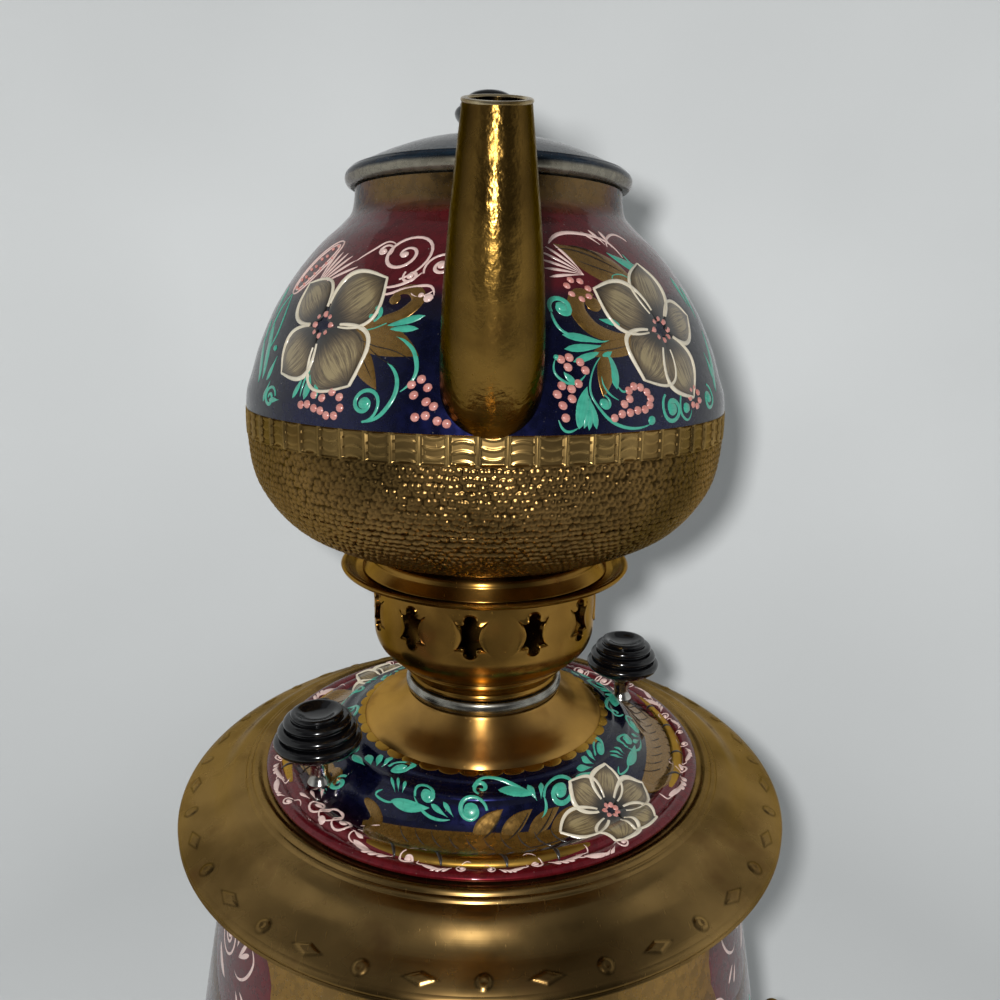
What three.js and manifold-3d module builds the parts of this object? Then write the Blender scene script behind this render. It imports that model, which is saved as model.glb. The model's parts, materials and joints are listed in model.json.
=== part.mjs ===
// An electric samovar of about three litres, with the teapot that stands on its crown.
// Millimetres, +Z up, origin on the table under the middle of the base.
// The tap and the teapot's spout point along -Y, the spout a little to one side of it,
// the mains inlet along +Y, and the two side handles lie along X.
import * as THREE from 'three';
import { mergeVertices } from 'three/addons/utils/BufferGeometryUtils.js';
import Module from 'manifold-3d';

const wasm = await Module();
wasm.setup();

// Flat sides of the round pieces, from the widest to the smallest
const wideSides = 28;
const middleSides = 24;
const narrowSides = 14;
const smallSides = 8;
const hexSides = 6;

const evenShares = [1, 1]; // of a bar that keeps its width

// Shared by all pieces
const seatGap = 0.3; // what two touching pieces leave between them
const overrun = 3; // how far a cut runs past what it cuts
const sheetWall = 1.2; // spun brass of the covers, crown and teapot
const vesselWall = 1.5; // brass of the water vessel and the base

// Base: a stepped foot that narrows to a flange under the neck
const baseRadius = 70;
const baseHeight = 62;
const baseShares = [
  [1, 0], [1, 0.1], [0.87, 0.18], [0.86, 0.27], [0.74, 0.36], [0.6, 0.52], [0.5, 0.78], [0.53, 1],
];
const coverThickness = 3;
const coverScrewCount = 3;
const coverScrewInset = 13; // of the cover's screws from the base's edge
const coverScrewRadius = 1.5;
const coverScrewHead = 3.2; // radius of the head
const coverHeadHeight = 1.3;
const lugHeight = 7;
const lugWidth = 9;
const lugDepth = 15;

// Neck between the base and the body
const neckRadius = 39;
const neckHeight = 46;
const neckFlange = 8; // width of the turned-in flanges at both ends
const neckShares = [[0.92, 0], [0.93, 0.12], [0.67, 0.32], [0.68, 0.56], [0.87, 0.82], [1, 1]];

// Stud that ties the body, neck and base together
const tieStudRadius = 4;
const tieHeadRadius = 6;
const tieHeadHeight = 4;
const tieNutRadius = 10;
const tieNutHeight = 6;
const tieStudTail = 10; // thread that stands out below the base's flange

// Body: the water vessel
const bodyRadius = 90.5;
const bodyHeight = 214;
const mouthInset = 25; // from the body's radius in to the straight rim at the mouth
const mouthRimHeight = 5.5;
const bodyShares = [
  [0.42, 0], [0.6, 0.035], [0.74, 0.078], [0.86, 0.135], [0.945, 0.22], [0.99, 0.33],
  [1, 0.46], [0.985, 0.59], [0.94, 0.71], [0.87, 0.845], [0.8, 0.935],
];

// Collar: the wide ring round the mouth, with the lid's seat inside it
const collarInset = 0.5; // of its rim from the body's radius
const collarDrop = 9.2; // from the lid's seat down to the rim
const collarShares = [[0.978, -0.85], [0.933, -0.62], [0.867, -0.35], [0.8, -0.15]];
const collarRidgeOut = 3.5; // of the ridge's outer edge from the mouth's rim
const collarRidgeHeight = 1;
const collarRidgeWidth = 1.6;
const collarLip = 2.2; // height of the turned-down rim
const sleeveDepth = 12;

// Lid of the vessel
const lidInset = 0.2; // of the lid's edge from the mouth's rim
const lidHeight = 19.9; // to the top of its neck
const lidShares = [
  [1, 0.06], [0.766, 0.075], [0.735, 0.2], [0.694, 0.41], [0.613, 0.528], [0.554, 0.573],
  [0.475, 0.663], [0.406, 0.814],
];
const lidNeckRadius = 23.3;
const skirtHeight = 9;
const skirtFlange = 2.4; // width of the flange under the lid
const steelRingHeight = 3.7;

// Lid knobs on their posts
const knobInset = 12.3; // of a post from the lid's edge
const knobAngles = [23, -153]; // degrees from +X towards +Y
const knobNames = ['right', 'left'];
const knobRadius = 12;
const knobHeight = 13;
const knobShares = [
  [0.32, 0], [0.62, 0.09], [0.92, 0.27], [1, 0.42], [0.87, 0.52], [0.87, 0.64], [0.72, 0.7],
  [0.7, 0.82], [0.48, 0.94], [0.26, 1],
];
const knobDishShare = 0.96; // height of the dished middle of the top
const knobBoreDepth = 6;
const postHeight = 9;
const postRadius = 3.6;
const postShares = [[1, 0], [1, 0.12], [0.72, 0.3], [0.72, 0.7], [1, 0.88], [1, 1]];
const studRadius = 2;
const studUp = 5.4; // thread inside the knob
const studDown = 6; // thread below the lid
const knobNutRadius = 4.2;
const knobNutHeight = 2.6;

// Crown: the pierced ring that carries the teapot
const crownHeight = 36.3; // from the steel ring to the top of the rim
const crownRadius = 42;
const crownBowlRadius = 32.8;
const crownFootRadius = 22.5;
const crownShares = [ // of the foot's radius, of the bowl's radius, of the height
  [1, 0, 0], [1, 0, 0.12], [0.61, 0.39, 0.21], [0.17, 0.83, 0.3], [0, 1, 0.44], [0, 1, 0.87],
];
const crownSeatWidth = 3.6; // flat ring that the teapot's foot stands on
const crownSeatShare = 0.909; // height of the underside of that ring
const crownDishShare = 0.94; // height of the underside where the rim turns up
const crownLip = 1.2; // width of the turned-up rim
const spigotDepth = 7;
const spigotShare = 0.81; // of the crown's foot radius
const starCount = 12;
const starHeight = 11.7;
const starWidth = 7.6;
const starPlaceShare = 0.647; // height of the stars' middles on the crown
const starTurn = -10.3; // degrees from -Y towards +X
const starShares = [
  [0, 0.5], [-0.21, 0.4], [-0.18, 0.28], [-0.5, 0.27], [-0.3, 0], [-0.5, -0.27], [-0.18, -0.28],
  [-0.21, -0.4], [0, -0.5], [0.21, -0.4], [0.18, -0.28], [0.5, -0.27], [0.3, 0], [0.5, 0.27],
  [0.18, 0.28], [0.21, 0.4],
];

// Tap
const tapRise = 46; // axis of the shank above the body's underside
const tapReach = 36; // from the body's surface out to the plug's axis
const tapShankRadius = 6.5;
const tapBoreRadius = 3.5;
const tapShankInside = 21;
const tapHousingRadius = 10;
const tapHousingUp = 15;
const tapHousingDown = 17;
const tapOutletReach = 24; // from the plug's axis to the outlet's axis
const tapOutletDrop = 33;
const tapOutletRadius = 6.2;
const tapOutletShares = [1, 0.95, 0.9, 0.85];
const tapOutletTurnShares = [[0.6, 0], [0.94, 0.3], [1, 1]]; // of the outlet's reach and drop
const tapOutletSteps = 8;
const tapSeatInside = 8; // flat face that the inner nut is tightened against
const tapNutRadius = 11;
const tapNutHeight = 5;
const gasketRadius = 11;
const rosetteRadius = 15;
const rosetteStand = 5;
const plugTopRadius = 6.8;
const plugTaper = 1.2;
const plugStemRadius = 3.2;
const plugStemHeight = 17; // above the housing
const plugTailRadius = 2.5;
const plugTailLength = 9;
const washerRadius = 8;
const washerHeight = 1.4;
const tailNutRadius = 6;
const tailNutHeight = 4;
const keySpan = 48;
const keyRise = 26;
const keyThickness = 4;
const keyHubRadius = 6;
const keyHubHeight = 13;
const keyLoopWidthShare = 0.3; // of the key's span
const keyLoopHeightShare = 0.44; // of the key's rise
const keyLoopPlaceShare = 0.26; // of the key's span
const keyWaistShare = 0.62; // of the key's rise, at its middle
const keyOutlineCount = 20;
const keyLoopCount = 10;

// Side handles
const handleRise = 66; // above the body's underside
const handleReach = 36; // from the body's surface to the grip's axis
const gripLength = 56;
const gripRadius = 9.5;
const gripShares = [
  [0.62, 0], [0.82, 0.08], [0.7, 0.14], [0.96, 0.26], [1, 0.5], [0.96, 0.74], [0.7, 0.86],
  [0.82, 0.92], [0.62, 1],
];
const eyeRadius = 6.5;
const eyeWidth = 6;
const handleRodRadius = 2.3;
const armRadius = 3.6;
const armTipShare = 0.8; // arm's radius at the eye
const armSag = 7; // how far the arm dips between the body and the eye
const armLeaveShare = 0.25; // of the handle's reach, where the arm starts to dip
const armReturnShare = 0.35; // of the handle's reach, where the arm rises to the eye
const armEndShare = 0.5; // of the eye's radius, where the arm ends inside the eye
const armSteps = 6;
const footRadius = 10;
const footStand = 4;
const capNutRadius = 5;
const capNutHeight = 7;
const capNutDomeShare = 0.55;

// Heater in the vessel's bottom
const heaterRadius = 4;
const heaterLoopRadius = 44;
const heaterRise = 20; // of the loop above the vessel's underside
const heaterLegPlace = 18; // of each leg to the side of the middle
const heaterLegDown = 15; // below the vessel's underside
const heaterRun = 16; // of the tube from its leg towards the loop
const heaterRunShare = 0.3; // of that run, halfway up
const heaterStartAngle = 140; // degrees from +X towards +Y
const heaterEndAngle = 400;
const heaterLoopCount = 10;
const heaterSides = 4;
const heaterSteps = 40;
const bushingRadius = 6.2;
const bushingHead = 9;
const bushingHeadHeight = 4;
const bushingDown = 10;
const heaterNutHeight = 5;

// Mains inlet at the back of the base
const inletRise = 40;
const inletRadius = 12;
const inletWall = 1.8;
const inletDepth = 11.6; // of the inlet behind the base's wall
const inletStand = 22.4; // of the inlet in front of it
const inletFloor = 6;
const pinRadius = 2.5;
const pinPlace = 6.5;
const pinLength = 18; // in front of the floor
const pinTail = 5; // behind the floor
const pinTipShare = 0.6;
const leadRadius = 1.6;
const leadBend = 12; // room that the lead takes to turn from down to back
const leadSides = 3;
const leadSteps = 14;

// Teapot
const teapotRadius = 65.4;
const teapotHeight = 102.8; // from its foot to the top of its neck
const teapotTurn = -3.2; // degrees from -Y towards +X, as it happens to stand on the crown
const teapotShares = [
  [0.488, 0.05], [0.6, 0.076], [0.742, 0.115], [0.86, 0.17], [0.95, 0.25], [1, 0.4], [0.985, 0.51],
  [0.93, 0.62], [0.83, 0.745], [0.677, 0.864], [0.58, 0.925], [0.543, 1],
];
const teapotFootRadius = 36;
const teapotFootWidth = 5;
const teapotFootStep = 1.3;
const teapotFloor = 4.6; // underside of the floor above the foot's face
const spoutRootRadius = 10.2;
const spoutShares = [1, 0.95, 0.9, 0.83, 0.76, 0.68, 0.61];
const spoutPlaces = [
  [56.5, 54.5], [65, 58], [72.5, 65], [77.5, 75], [81, 85], [83.9, 95.8], [86.8, 106.6],
];
const spoutWall = 1.3;
const spoutSteps = 12;
const strainerRadius = 8;
const strainerHoleRadius = 1.3;
const strainerHoleCount = 6;
const strainerRingShare = 0.62; // where the outer holes lie on the strainer
const strainerSetback = 2.4; // from the belly's inner face over the strainer to the strainer's back
const handlePlaces = [
  [53, 88.5], [57, 91], [61, 93.5], [70, 97.2], [82, 97], [94, 89], [100, 74], [97, 57], [88, 44],
  [79, 38.5], [74, 37.2], [69, 36],
];
const handleRadius = 6.6;
const handleShares = [0.72, 0.72, 0.9, 1, 1, 1, 1, 0.96, 0.9, 0.72, 0.72];
const handleSteps = 20;
const ferruleWall = 1.6;
const ferruleLength = 14; // of both ferrules, from inside the belly's wall outwards
const ferruleShare = 0.72; // of the handle's radius, at its ends

// Lid of the teapot
const potLidRadius = 38;
const potLidHeight = 13.6;
const potLidShares = [[0.953, 0], [1, 0.2], [0.947, 0.34], [0.79, 0.545], [0.58, 0.765], [0.316, 0.93]];
const potSkirtDepth = 7;
const potMouthShare = 0.99; // height on the teapot at which the lid's skirt is fitted to the neck
const ventRadius = 1.3;
const ventPlace = 20;
const potKnobRadius = 9.2;
const potKnobHeight = 9.2;
const potWasherRadius = 5;
const potWasherHeight = 1.6;
const potScrewHeadRadius = 4;
const potScrewHeadHeight = 1.6;

// Colours and surfaces
const brass = new THREE.MeshStandardMaterial({ color: '#b07d2c', roughness: 0.28, metalness: 1 });
const paintedBrass = new THREE.MeshStandardMaterial({ color: '#4a1620', roughness: 0.3, metalness: 0.6 });
const navyBrass = new THREE.MeshStandardMaterial({ color: '#1b2038', roughness: 0.3, metalness: 0.6 });
const steel = new THREE.MeshStandardMaterial({ color: '#b9b6ae', roughness: 0.3, metalness: 1 });
const nickel = new THREE.MeshStandardMaterial({ color: '#cfccc4', roughness: 0.2, metalness: 1 });
const blackPlastic = new THREE.MeshStandardMaterial({ color: '#101012', roughness: 0.25, metalness: 0 });
const rubber = new THREE.MeshStandardMaterial({ color: '#3a3532', roughness: 0.8, metalness: 0 });

// Heights at which the stacked pieces start
const neckBottom = baseHeight + seatGap;
const bodyBottom = neckBottom + neckHeight + seatGap;
const collarSeat = bodyBottom + bodyHeight + seatGap + sheetWall; // top of the lid's seat
const lidBottom = collarSeat + seatGap;
const steelRingBottom = lidBottom + lidHeight + seatGap;
const crownBottom = steelRingBottom + steelRingHeight + seatGap;
const teapotBottom = crownBottom + crownHeight * crownSeatShare + sheetWall + seatGap;
const potLidBottom = teapotBottom + teapotHeight + seatGap;

// Rings of the body, collar and lid, each set in from the one that carries it
const mouthRadius = bodyRadius - mouthInset; // outside of the straight rim
const collarRadius = bodyRadius - collarInset;
const collarRidgeRadius = mouthRadius + collarRidgeOut;
const lidRadius = mouthRadius - lidInset;
const knobPlace = lidRadius - knobInset; // of a post from the lid's middle
const coverScrewRing = baseRadius - coverScrewInset;

// Round shafts and the holes they go through
const sleeveRadius = mouthRadius - vesselWall - seatGap - sheetWall; // inside of the collar's sleeve
const spigotRadius = crownFootRadius * spigotShare;
const ringBore = spigotRadius + seatGap;
const studHole = studRadius + seatGap;
const shankHole = tapShankRadius + seatGap;

// A table of shares as real points: x is a radius and y a height
function outline(shares, radius, height) {
  return shares.map(([across, up]) => new THREE.Vector2(across * radius, up * height));
}

// The same line moved sideways by a distance, to the left of the way it runs
function offsetLine(line, distance) {
  const last = line.length - 1;
  const leftOf = (from, to) => {
    const along = to.clone().sub(from).normalize();
    return new THREE.Vector2(-along.y, along.x);
  };
  return line.map((point, i) => {
    const before = leftOf(line[Math.max(i - 1, 0)], line[Math.max(i, 1)]);
    const after = leftOf(line[Math.min(i, last - 1)], line[Math.min(i + 1, last)]);
    const middle = before.clone().add(after).normalize();
    const reach = distance / Math.max(middle.dot(before), 0.5);
    return point.clone().addScaledVector(middle, reach);
  });
}

// A line and its offset as one closed loop: sheet metal seen from its edge
function sheetLoop(line, thickness) {
  return [...line, ...offsetLine(line, thickness).reverse()];
}

// Radius of an outline at a height, between its two nearest points
function radiusAt(line, height) {
  const next = line.findIndex((point, i) => i > 0 && point.y > height && line[i - 1].y <= height);
  const low = line[next - 1];
  const high = line[next];
  return THREE.MathUtils.mapLinear(height, low.y, high.y, low.x, high.x);
}

// A closed three.js geometry as a solid that can be joined and cut.
// Equal points are merged, flat triangles dropped and the faces turned outwards.
function toSolid(geometry) {
  const bare = geometry.clone();
  bare.deleteAttribute('normal');
  bare.deleteAttribute('uv');
  const merged = mergeVertices(bare);
  const points = merged.attributes.position.array;
  const corners = merged.index.array;
  const triangles = [];
  let volume = 0;
  const [a, b, c] = [new THREE.Vector3(), new THREE.Vector3(), new THREE.Vector3()];
  for (let i = 0; i < corners.length; i += 3) {
    const [p, q, r] = corners.slice(i, i + 3);
    if (p === q || q === r || r === p) continue;
    triangles.push(p, q, r);
    a.fromArray(points, p * 3);
    b.fromArray(points, q * 3);
    c.fromArray(points, r * 3);
    volume += a.dot(b.cross(c));
  }
  const triVerts = Uint32Array.from(volume < 0 ? triangles.reverse() : triangles);
  return new wasm.Manifold(new wasm.Mesh({ numProp: 3, vertProperties: points, triVerts }));
}

// A solid as a named mesh, at a place and turned about an axis
function piece(name, solid, material, place = [0, 0, 0], turn = [0, 0, 0]) {
  const { vertProperties, triVerts } = solid.getMesh();
  const geometry = new THREE.BufferGeometry();
  geometry.setAttribute('position', new THREE.BufferAttribute(vertProperties, 3));
  geometry.setIndex(new THREE.BufferAttribute(triVerts, 1));
  geometry.computeVertexNormals();
  const mesh = new THREE.Mesh(geometry, material);
  mesh.name = name;
  mesh.position.set(...place);
  mesh.rotation.set(...turn);
  return mesh;
}

// A loop, or a line from the axis to the axis, turned about Z
function revolve(loop, sides) {
  const closes = loop[0].x > 0;
  const points = closes ? [...loop, loop[0].clone()] : loop;
  return toSolid(new THREE.LatheGeometry(points, sides).rotateX(Math.PI / 2));
}

// The solid that a line encloses round Z, filled from its first height to its last
function filled(line, sides) {
  const first = new THREE.Vector2(0, line[0].y);
  const last = new THREE.Vector2(0, line[line.length - 1].y);
  return revolve([first, ...line, last], sides);
}

// A cylinder or cone that stands on z = 0, or runs along -Y or +X from there
function roundBar(lowRadius, highRadius, length, sides) {
  const bar = new THREE.CylinderGeometry(highRadius, lowRadius, length, sides);
  return bar.rotateX(Math.PI / 2).translate(0, 0, length / 2);
}
const barUp = (radius, from, to, sides) => roundBar(radius, radius, to - from, sides).translate(0, 0, from);
const barFront = (radius, from, to, sides) => barUp(radius, from, to, sides).rotateX(Math.PI / 2);
const barSide = (radius, from, to, sides) => barUp(radius, from, to, sides).rotateY(Math.PI / 2);

// A six-sided nut with its bore, standing on z = 0
function nut(radius, height, bore) {
  const hole = toSolid(barUp(bore, -overrun, height + overrun, narrowSides));
  return toSolid(barUp(radius, 0, height, hexSides)).subtract(hole);
}

// A round bar bent along a curve in a plane of constant x, with a radius that follows a list of shares
function bentBar(curve, radius, shares, sides, steps) {
  const bar = new THREE.CylinderGeometry(1, 1, 1, sides, steps);
  const points = bar.attributes.position;
  const centre = new THREE.Vector3();
  const side = new THREE.Vector3(1, 0, 0);
  for (let i = 0; i < points.count; i += 1) {
    const along = THREE.MathUtils.clamp(points.getY(i) + 0.5, 0, 1);
    const step = along * (shares.length - 1);
    const low = Math.min(Math.floor(step), shares.length - 2);
    const size = radius * THREE.MathUtils.lerp(shares[low], shares[low + 1], step - low);
    curve.getPointAt(along, centre);
    const forward = curve.getTangentAt(along);
    const up = forward.clone().cross(side).normalize();
    centre.addScaledVector(side, points.getX(i) * size).addScaledVector(up, points.getZ(i) * size);
    points.setXYZ(i, centre.x, centre.y, centre.z);
  }
  return toSolid(bar);
}

// A tube of one width along a curve
function tube(curve, radius, sides, steps) {
  const section = new THREE.Shape();
  section.absarc(0, 0, radius, 0, Math.PI * 2);
  const options = { extrudePath: curve, steps, curveSegments: sides, bevelEnabled: false };
  return toSolid(new THREE.ExtrudeGeometry(section, options));
}

// Outlines of the pieces that others are cut to
const baseLine = outline(baseShares, baseRadius, baseHeight);
const bodyLine = [
  ...outline(bodyShares, bodyRadius, bodyHeight),
  new THREE.Vector2(mouthRadius + vesselWall, bodyHeight - mouthRimHeight - vesselWall),
  new THREE.Vector2(mouthRadius, bodyHeight - mouthRimHeight),
  new THREE.Vector2(mouthRadius, bodyHeight),
];
const potLine = outline(teapotShares, teapotRadius, teapotHeight);
const bodyKeepOut = filled(offsetLine(bodyLine, -seatGap), wideSides);
const bodyInside = filled(offsetLine(bodyLine, vesselWall + seatGap), wideSides);
const potKeepOut = filled(offsetLine(potLine, -seatGap), wideSides);

// Both ends of the mains inlet, from the middle of the base
const inletWallPlace = radiusAt(baseLine, inletRise);
const inletInner = inletWallPlace - inletDepth;
const inletOuter = inletWallPlace + inletStand;

// Places round the middle that repeat, as angles
const turnsOf = (count) => Array.from({ length: count }, (unused, i) => (i / count) * Math.PI * 2);

function baseShell() {
  const flangeBore = tieStudRadius + seatGap;
  const line = [...baseLine, new THREE.Vector2(flangeBore, baseHeight)];
  let shell = revolve(sheetLoop(line, vesselWall), wideSides);
  const whole = filled(offsetLine(baseLine, seatGap), wideSides);
  const lugBottom = coverThickness + seatGap;
  for (const turn of turnsOf(coverScrewCount)) {
    const lug = new THREE.BoxGeometry(lugDepth, lugWidth, lugHeight);
    lug.translate(coverScrewRing - lugWidth / 2 + lugDepth / 2, 0, lugBottom + lugHeight / 2).rotateZ(turn);
    const hole = barUp(coverScrewRadius + seatGap, 0, lugBottom + lugHeight + seatGap, smallSides);
    hole.translate(coverScrewRing, 0, 0).rotateZ(turn);
    shell = shell.add(toSolid(lug).intersect(whole));
    shell = shell.subtract(toSolid(hole));
  }
  const inlet = barFront(inletRadius + seatGap, inletInner, inletOuter + baseRadius, narrowSides);
  shell = shell.subtract(toSolid(inlet.rotateZ(Math.PI).translate(0, 0, inletRise)));
  for (const side of [-1, 1]) {
    const hole = barUp(leadRadius + seatGap, baseHeight - overrun * 2, baseHeight + overrun, smallSides);
    shell = shell.subtract(toSolid(hole.translate(side * heaterLegPlace, 0, 0)));
  }
  return shell;
}

function bottomCover() {
  const edge = baseRadius - vesselWall - seatGap;
  let cover = toSolid(barUp(edge, 0, coverThickness, wideSides));
  const recessDepth = coverHeadHeight + seatGap * 2;
  for (const turn of turnsOf(coverScrewCount)) {
    const recess = barUp(coverScrewHead + seatGap, -overrun, recessDepth, smallSides);
    const hole = barUp(coverScrewRadius + seatGap, -overrun, coverThickness + overrun, smallSides);
    cover = cover.subtract(toSolid(recess.translate(coverScrewRing, 0, 0).rotateZ(turn)));
    cover = cover.subtract(toSolid(hole.translate(coverScrewRing, 0, 0).rotateZ(turn)));
  }
  return cover;
}

function coverScrew() {
  const reach = coverThickness + seatGap + lugHeight;
  const head = toSolid(barUp(coverScrewHead, seatGap, seatGap + coverHeadHeight, smallSides));
  return head.add(toSolid(barUp(coverScrewRadius, seatGap, reach, smallSides)));
}

function neck() {
  const line = outline(neckShares, neckRadius, neckHeight);
  const lowFlange = new THREE.Vector2(line[0].x - neckFlange, 0);
  const highFlange = new THREE.Vector2(neckRadius - neckFlange, neckHeight);
  return revolve(sheetLoop([lowFlange, ...line, highFlange], sheetWall), middleSides);
}

function tieStud() {
  const top = bodyBottom - seatGap;
  const bottom = baseHeight - vesselWall - tieNutHeight - tieStudTail;
  const head = toSolid(barUp(tieHeadRadius, top - tieHeadHeight, top, narrowSides));
  return head.add(toSolid(barUp(tieStudRadius, bottom, top, smallSides)));
}

function bodyShell() {
  const line = [new THREE.Vector2(0, 0), ...bodyLine];
  let shell = revolve(sheetLoop(line, vesselWall), wideSides);
  for (const side of [-1, 1]) {
    const hole = barUp(bushingRadius + seatGap, -overrun, vesselWall + overrun, smallSides);
    shell = shell.subtract(toSolid(hole.translate(side * heaterLegPlace, 0, 0)));
  }
  const tapHole = barFront(shankHole, heaterLoopRadius, bodyRadius + overrun, narrowSides);
  return shell.subtract(toSolid(tapHole.translate(0, 0, tapRise)));
}

function collar() {
  const rim = new THREE.Vector2(collarRadius, -collarDrop);
  const ridgeFoot = new THREE.Vector2(collarRidgeRadius - collarRidgeWidth - collarRidgeHeight, 0);
  const line = [
    rim.clone().setY(rim.y - collarLip),
    rim,
    ...outline(collarShares, collarRadius, collarDrop),
    new THREE.Vector2(collarRidgeRadius, collarRidgeHeight),
    new THREE.Vector2(collarRidgeRadius - collarRidgeWidth, collarRidgeHeight),
    ridgeFoot,
    new THREE.Vector2(sleeveRadius, 0),
    new THREE.Vector2(sleeveRadius, -sleeveDepth),
  ];
  return revolve(sheetLoop(line, sheetWall), wideSides);
}

const lidLine = [
  ...outline(lidShares, lidRadius, lidHeight),
  new THREE.Vector2(lidNeckRadius, lidHeight),
];

function lid() {
  const line = [...lidLine, new THREE.Vector2(ringBore, lidHeight)];
  let cover = revolve(sheetLoop(line, sheetWall), wideSides);
  for (const angle of knobAngles) {
    const hole = barUp(studHole, -lidHeight, lidHeight, smallSides).translate(knobPlace, 0, 0);
    cover = cover.subtract(toSolid(hole.rotateZ(THREE.MathUtils.degToRad(angle))));
  }
  return cover;
}

function lidSkirt() {
  const outer = sleeveRadius - seatGap;
  const line = [
    new THREE.Vector2(outer, -skirtHeight - seatGap),
    new THREE.Vector2(outer, -seatGap),
    new THREE.Vector2(outer - skirtFlange, -seatGap),
  ];
  return revolve(sheetLoop(line, sheetWall), wideSides);
}

function steelRing() {
  const bore = toSolid(barUp(ringBore, -overrun, steelRingHeight + overrun, wideSides));
  return toSolid(barUp(lidNeckRadius, 0, steelRingHeight, wideSides)).subtract(bore);
}

function lidPost() {
  const line = [
    new THREE.Vector2(0, -studDown),
    new THREE.Vector2(studRadius, -studDown),
    new THREE.Vector2(studRadius, 0),
    ...outline(postShares, postRadius, postHeight),
    new THREE.Vector2(studRadius, postHeight),
    new THREE.Vector2(studRadius, postHeight + studUp),
    new THREE.Vector2(0, postHeight + studUp),
  ];
  return revolve(line, smallSides);
}

// A ridged knob with a blind bore for its stud
function ridgedKnob(radius, height) {
  const line = [
    new THREE.Vector2(0, knobBoreDepth),
    new THREE.Vector2(studHole, knobBoreDepth),
    new THREE.Vector2(studHole, 0),
    ...outline(knobShares, radius, height),
    new THREE.Vector2(0, knobDishShare * height),
  ];
  return revolve(line, narrowSides);
}

function crown() {
  const seat = crownSeatShare * crownHeight;
  const line = [
    new THREE.Vector2(spigotRadius, -spigotDepth),
    new THREE.Vector2(spigotRadius, 0),
    ...crownShares.map(([foot, bowl, up]) => new THREE.Vector2(
      foot * crownFootRadius + bowl * crownBowlRadius, up * crownHeight)),
    new THREE.Vector2(crownBowlRadius, seat),
    new THREE.Vector2(crownBowlRadius + crownSeatWidth + sheetWall, seat),
    new THREE.Vector2(crownRadius - crownLip, crownDishShare * crownHeight),
    new THREE.Vector2(crownRadius, crownHeight - sheetWall / 2),
  ];
  let ring = revolve(sheetLoop(line, sheetWall), middleSides);
  const star = new THREE.Shape(
    starShares.map(([x, y]) => new THREE.Vector2(x * starWidth, y * starHeight)));
  const cut = new THREE.ExtrudeGeometry(star, { depth: crownRadius, bevelEnabled: false });
  cut.rotateX(Math.PI / 2).translate(0, 0, starPlaceShare * crownHeight);
  for (const turn of turnsOf(starCount)) {
    const place = turn + THREE.MathUtils.degToRad(starTurn);
    ring = ring.subtract(toSolid(cut.clone().rotateZ(place)));
  }
  return ring;
}

// The tap's shank meets the body at this distance from the middle
const tapWall = radiusAt(bodyLine, tapRise);
const tapAxis = tapWall + tapReach;

function tapBody() {
  const outlet = new THREE.CatmullRomCurve3([
    new THREE.Vector3(0, -tapAxis, tapRise),
    ...tapOutletTurnShares.map(([out, down]) => new THREE.Vector3(
      0, -tapAxis - tapOutletReach * out, tapRise - tapOutletDrop * down)),
  ]);
  const shank = barFront(tapShankRadius, tapWall - tapShankInside, tapAxis, narrowSides);
  const bore = barFront(tapBoreRadius, tapWall - tapShankInside - overrun, tapAxis, smallSides);
  const housing = barUp(tapHousingRadius, tapRise - tapHousingDown, tapRise + tapHousingUp, narrowSides);
  const plugHoleTop = plugTopRadius + seatGap;
  const plugHole = roundBar(
    plugHoleTop - plugTaper, plugHoleTop, tapHousingUp + tapHousingDown, narrowSides);
  const housingTop = tapRise + tapHousingUp;
  const plugTop = barUp(plugHoleTop, housingTop, housingTop + overrun, narrowSides);
  const outletHole = outlet.clone();
  outletHole.points.push(
    new THREE.Vector3(0, -tapAxis - tapOutletReach, tapRise - tapOutletDrop - overrun));
  return toSolid(shank.translate(0, 0, tapRise))
    .add(toSolid(housing.translate(0, -tapAxis, 0)))
    .add(bentBar(outlet, tapOutletRadius, tapOutletShares, smallSides, tapOutletSteps))
    .subtract(toSolid(bore.translate(0, 0, tapRise)))
    .subtract(bentBar(outletHole, tapBoreRadius, evenShares, smallSides, tapOutletSteps))
    .subtract(toSolid(plugHole.translate(0, -tapAxis, tapRise - tapHousingDown)))
    .subtract(toSolid(plugTop.translate(0, -tapAxis, 0)));
}

// Turned about Z with the plug's axis on x = 0, y = 0 and the shank's height on z = 0
function tapPlug() {
  const top = tapHousingUp;
  const line = [
    new THREE.Vector2(0, -tapHousingDown - plugTailLength),
    new THREE.Vector2(plugTailRadius, -tapHousingDown - plugTailLength),
    new THREE.Vector2(plugTailRadius, -tapHousingDown),
    new THREE.Vector2(plugTopRadius - plugTaper, -tapHousingDown),
    new THREE.Vector2(plugTopRadius, top),
    new THREE.Vector2(plugStemRadius, top + plugTopRadius - plugStemRadius),
    new THREE.Vector2(plugStemRadius, top + plugStemHeight),
    new THREE.Vector2(0, top + plugStemHeight),
  ];
  const water = toSolid(barSide(tapBoreRadius, -tapHousingRadius, tapHousingRadius, smallSides));
  return revolve(line, narrowSides).subtract(water);
}

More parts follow.
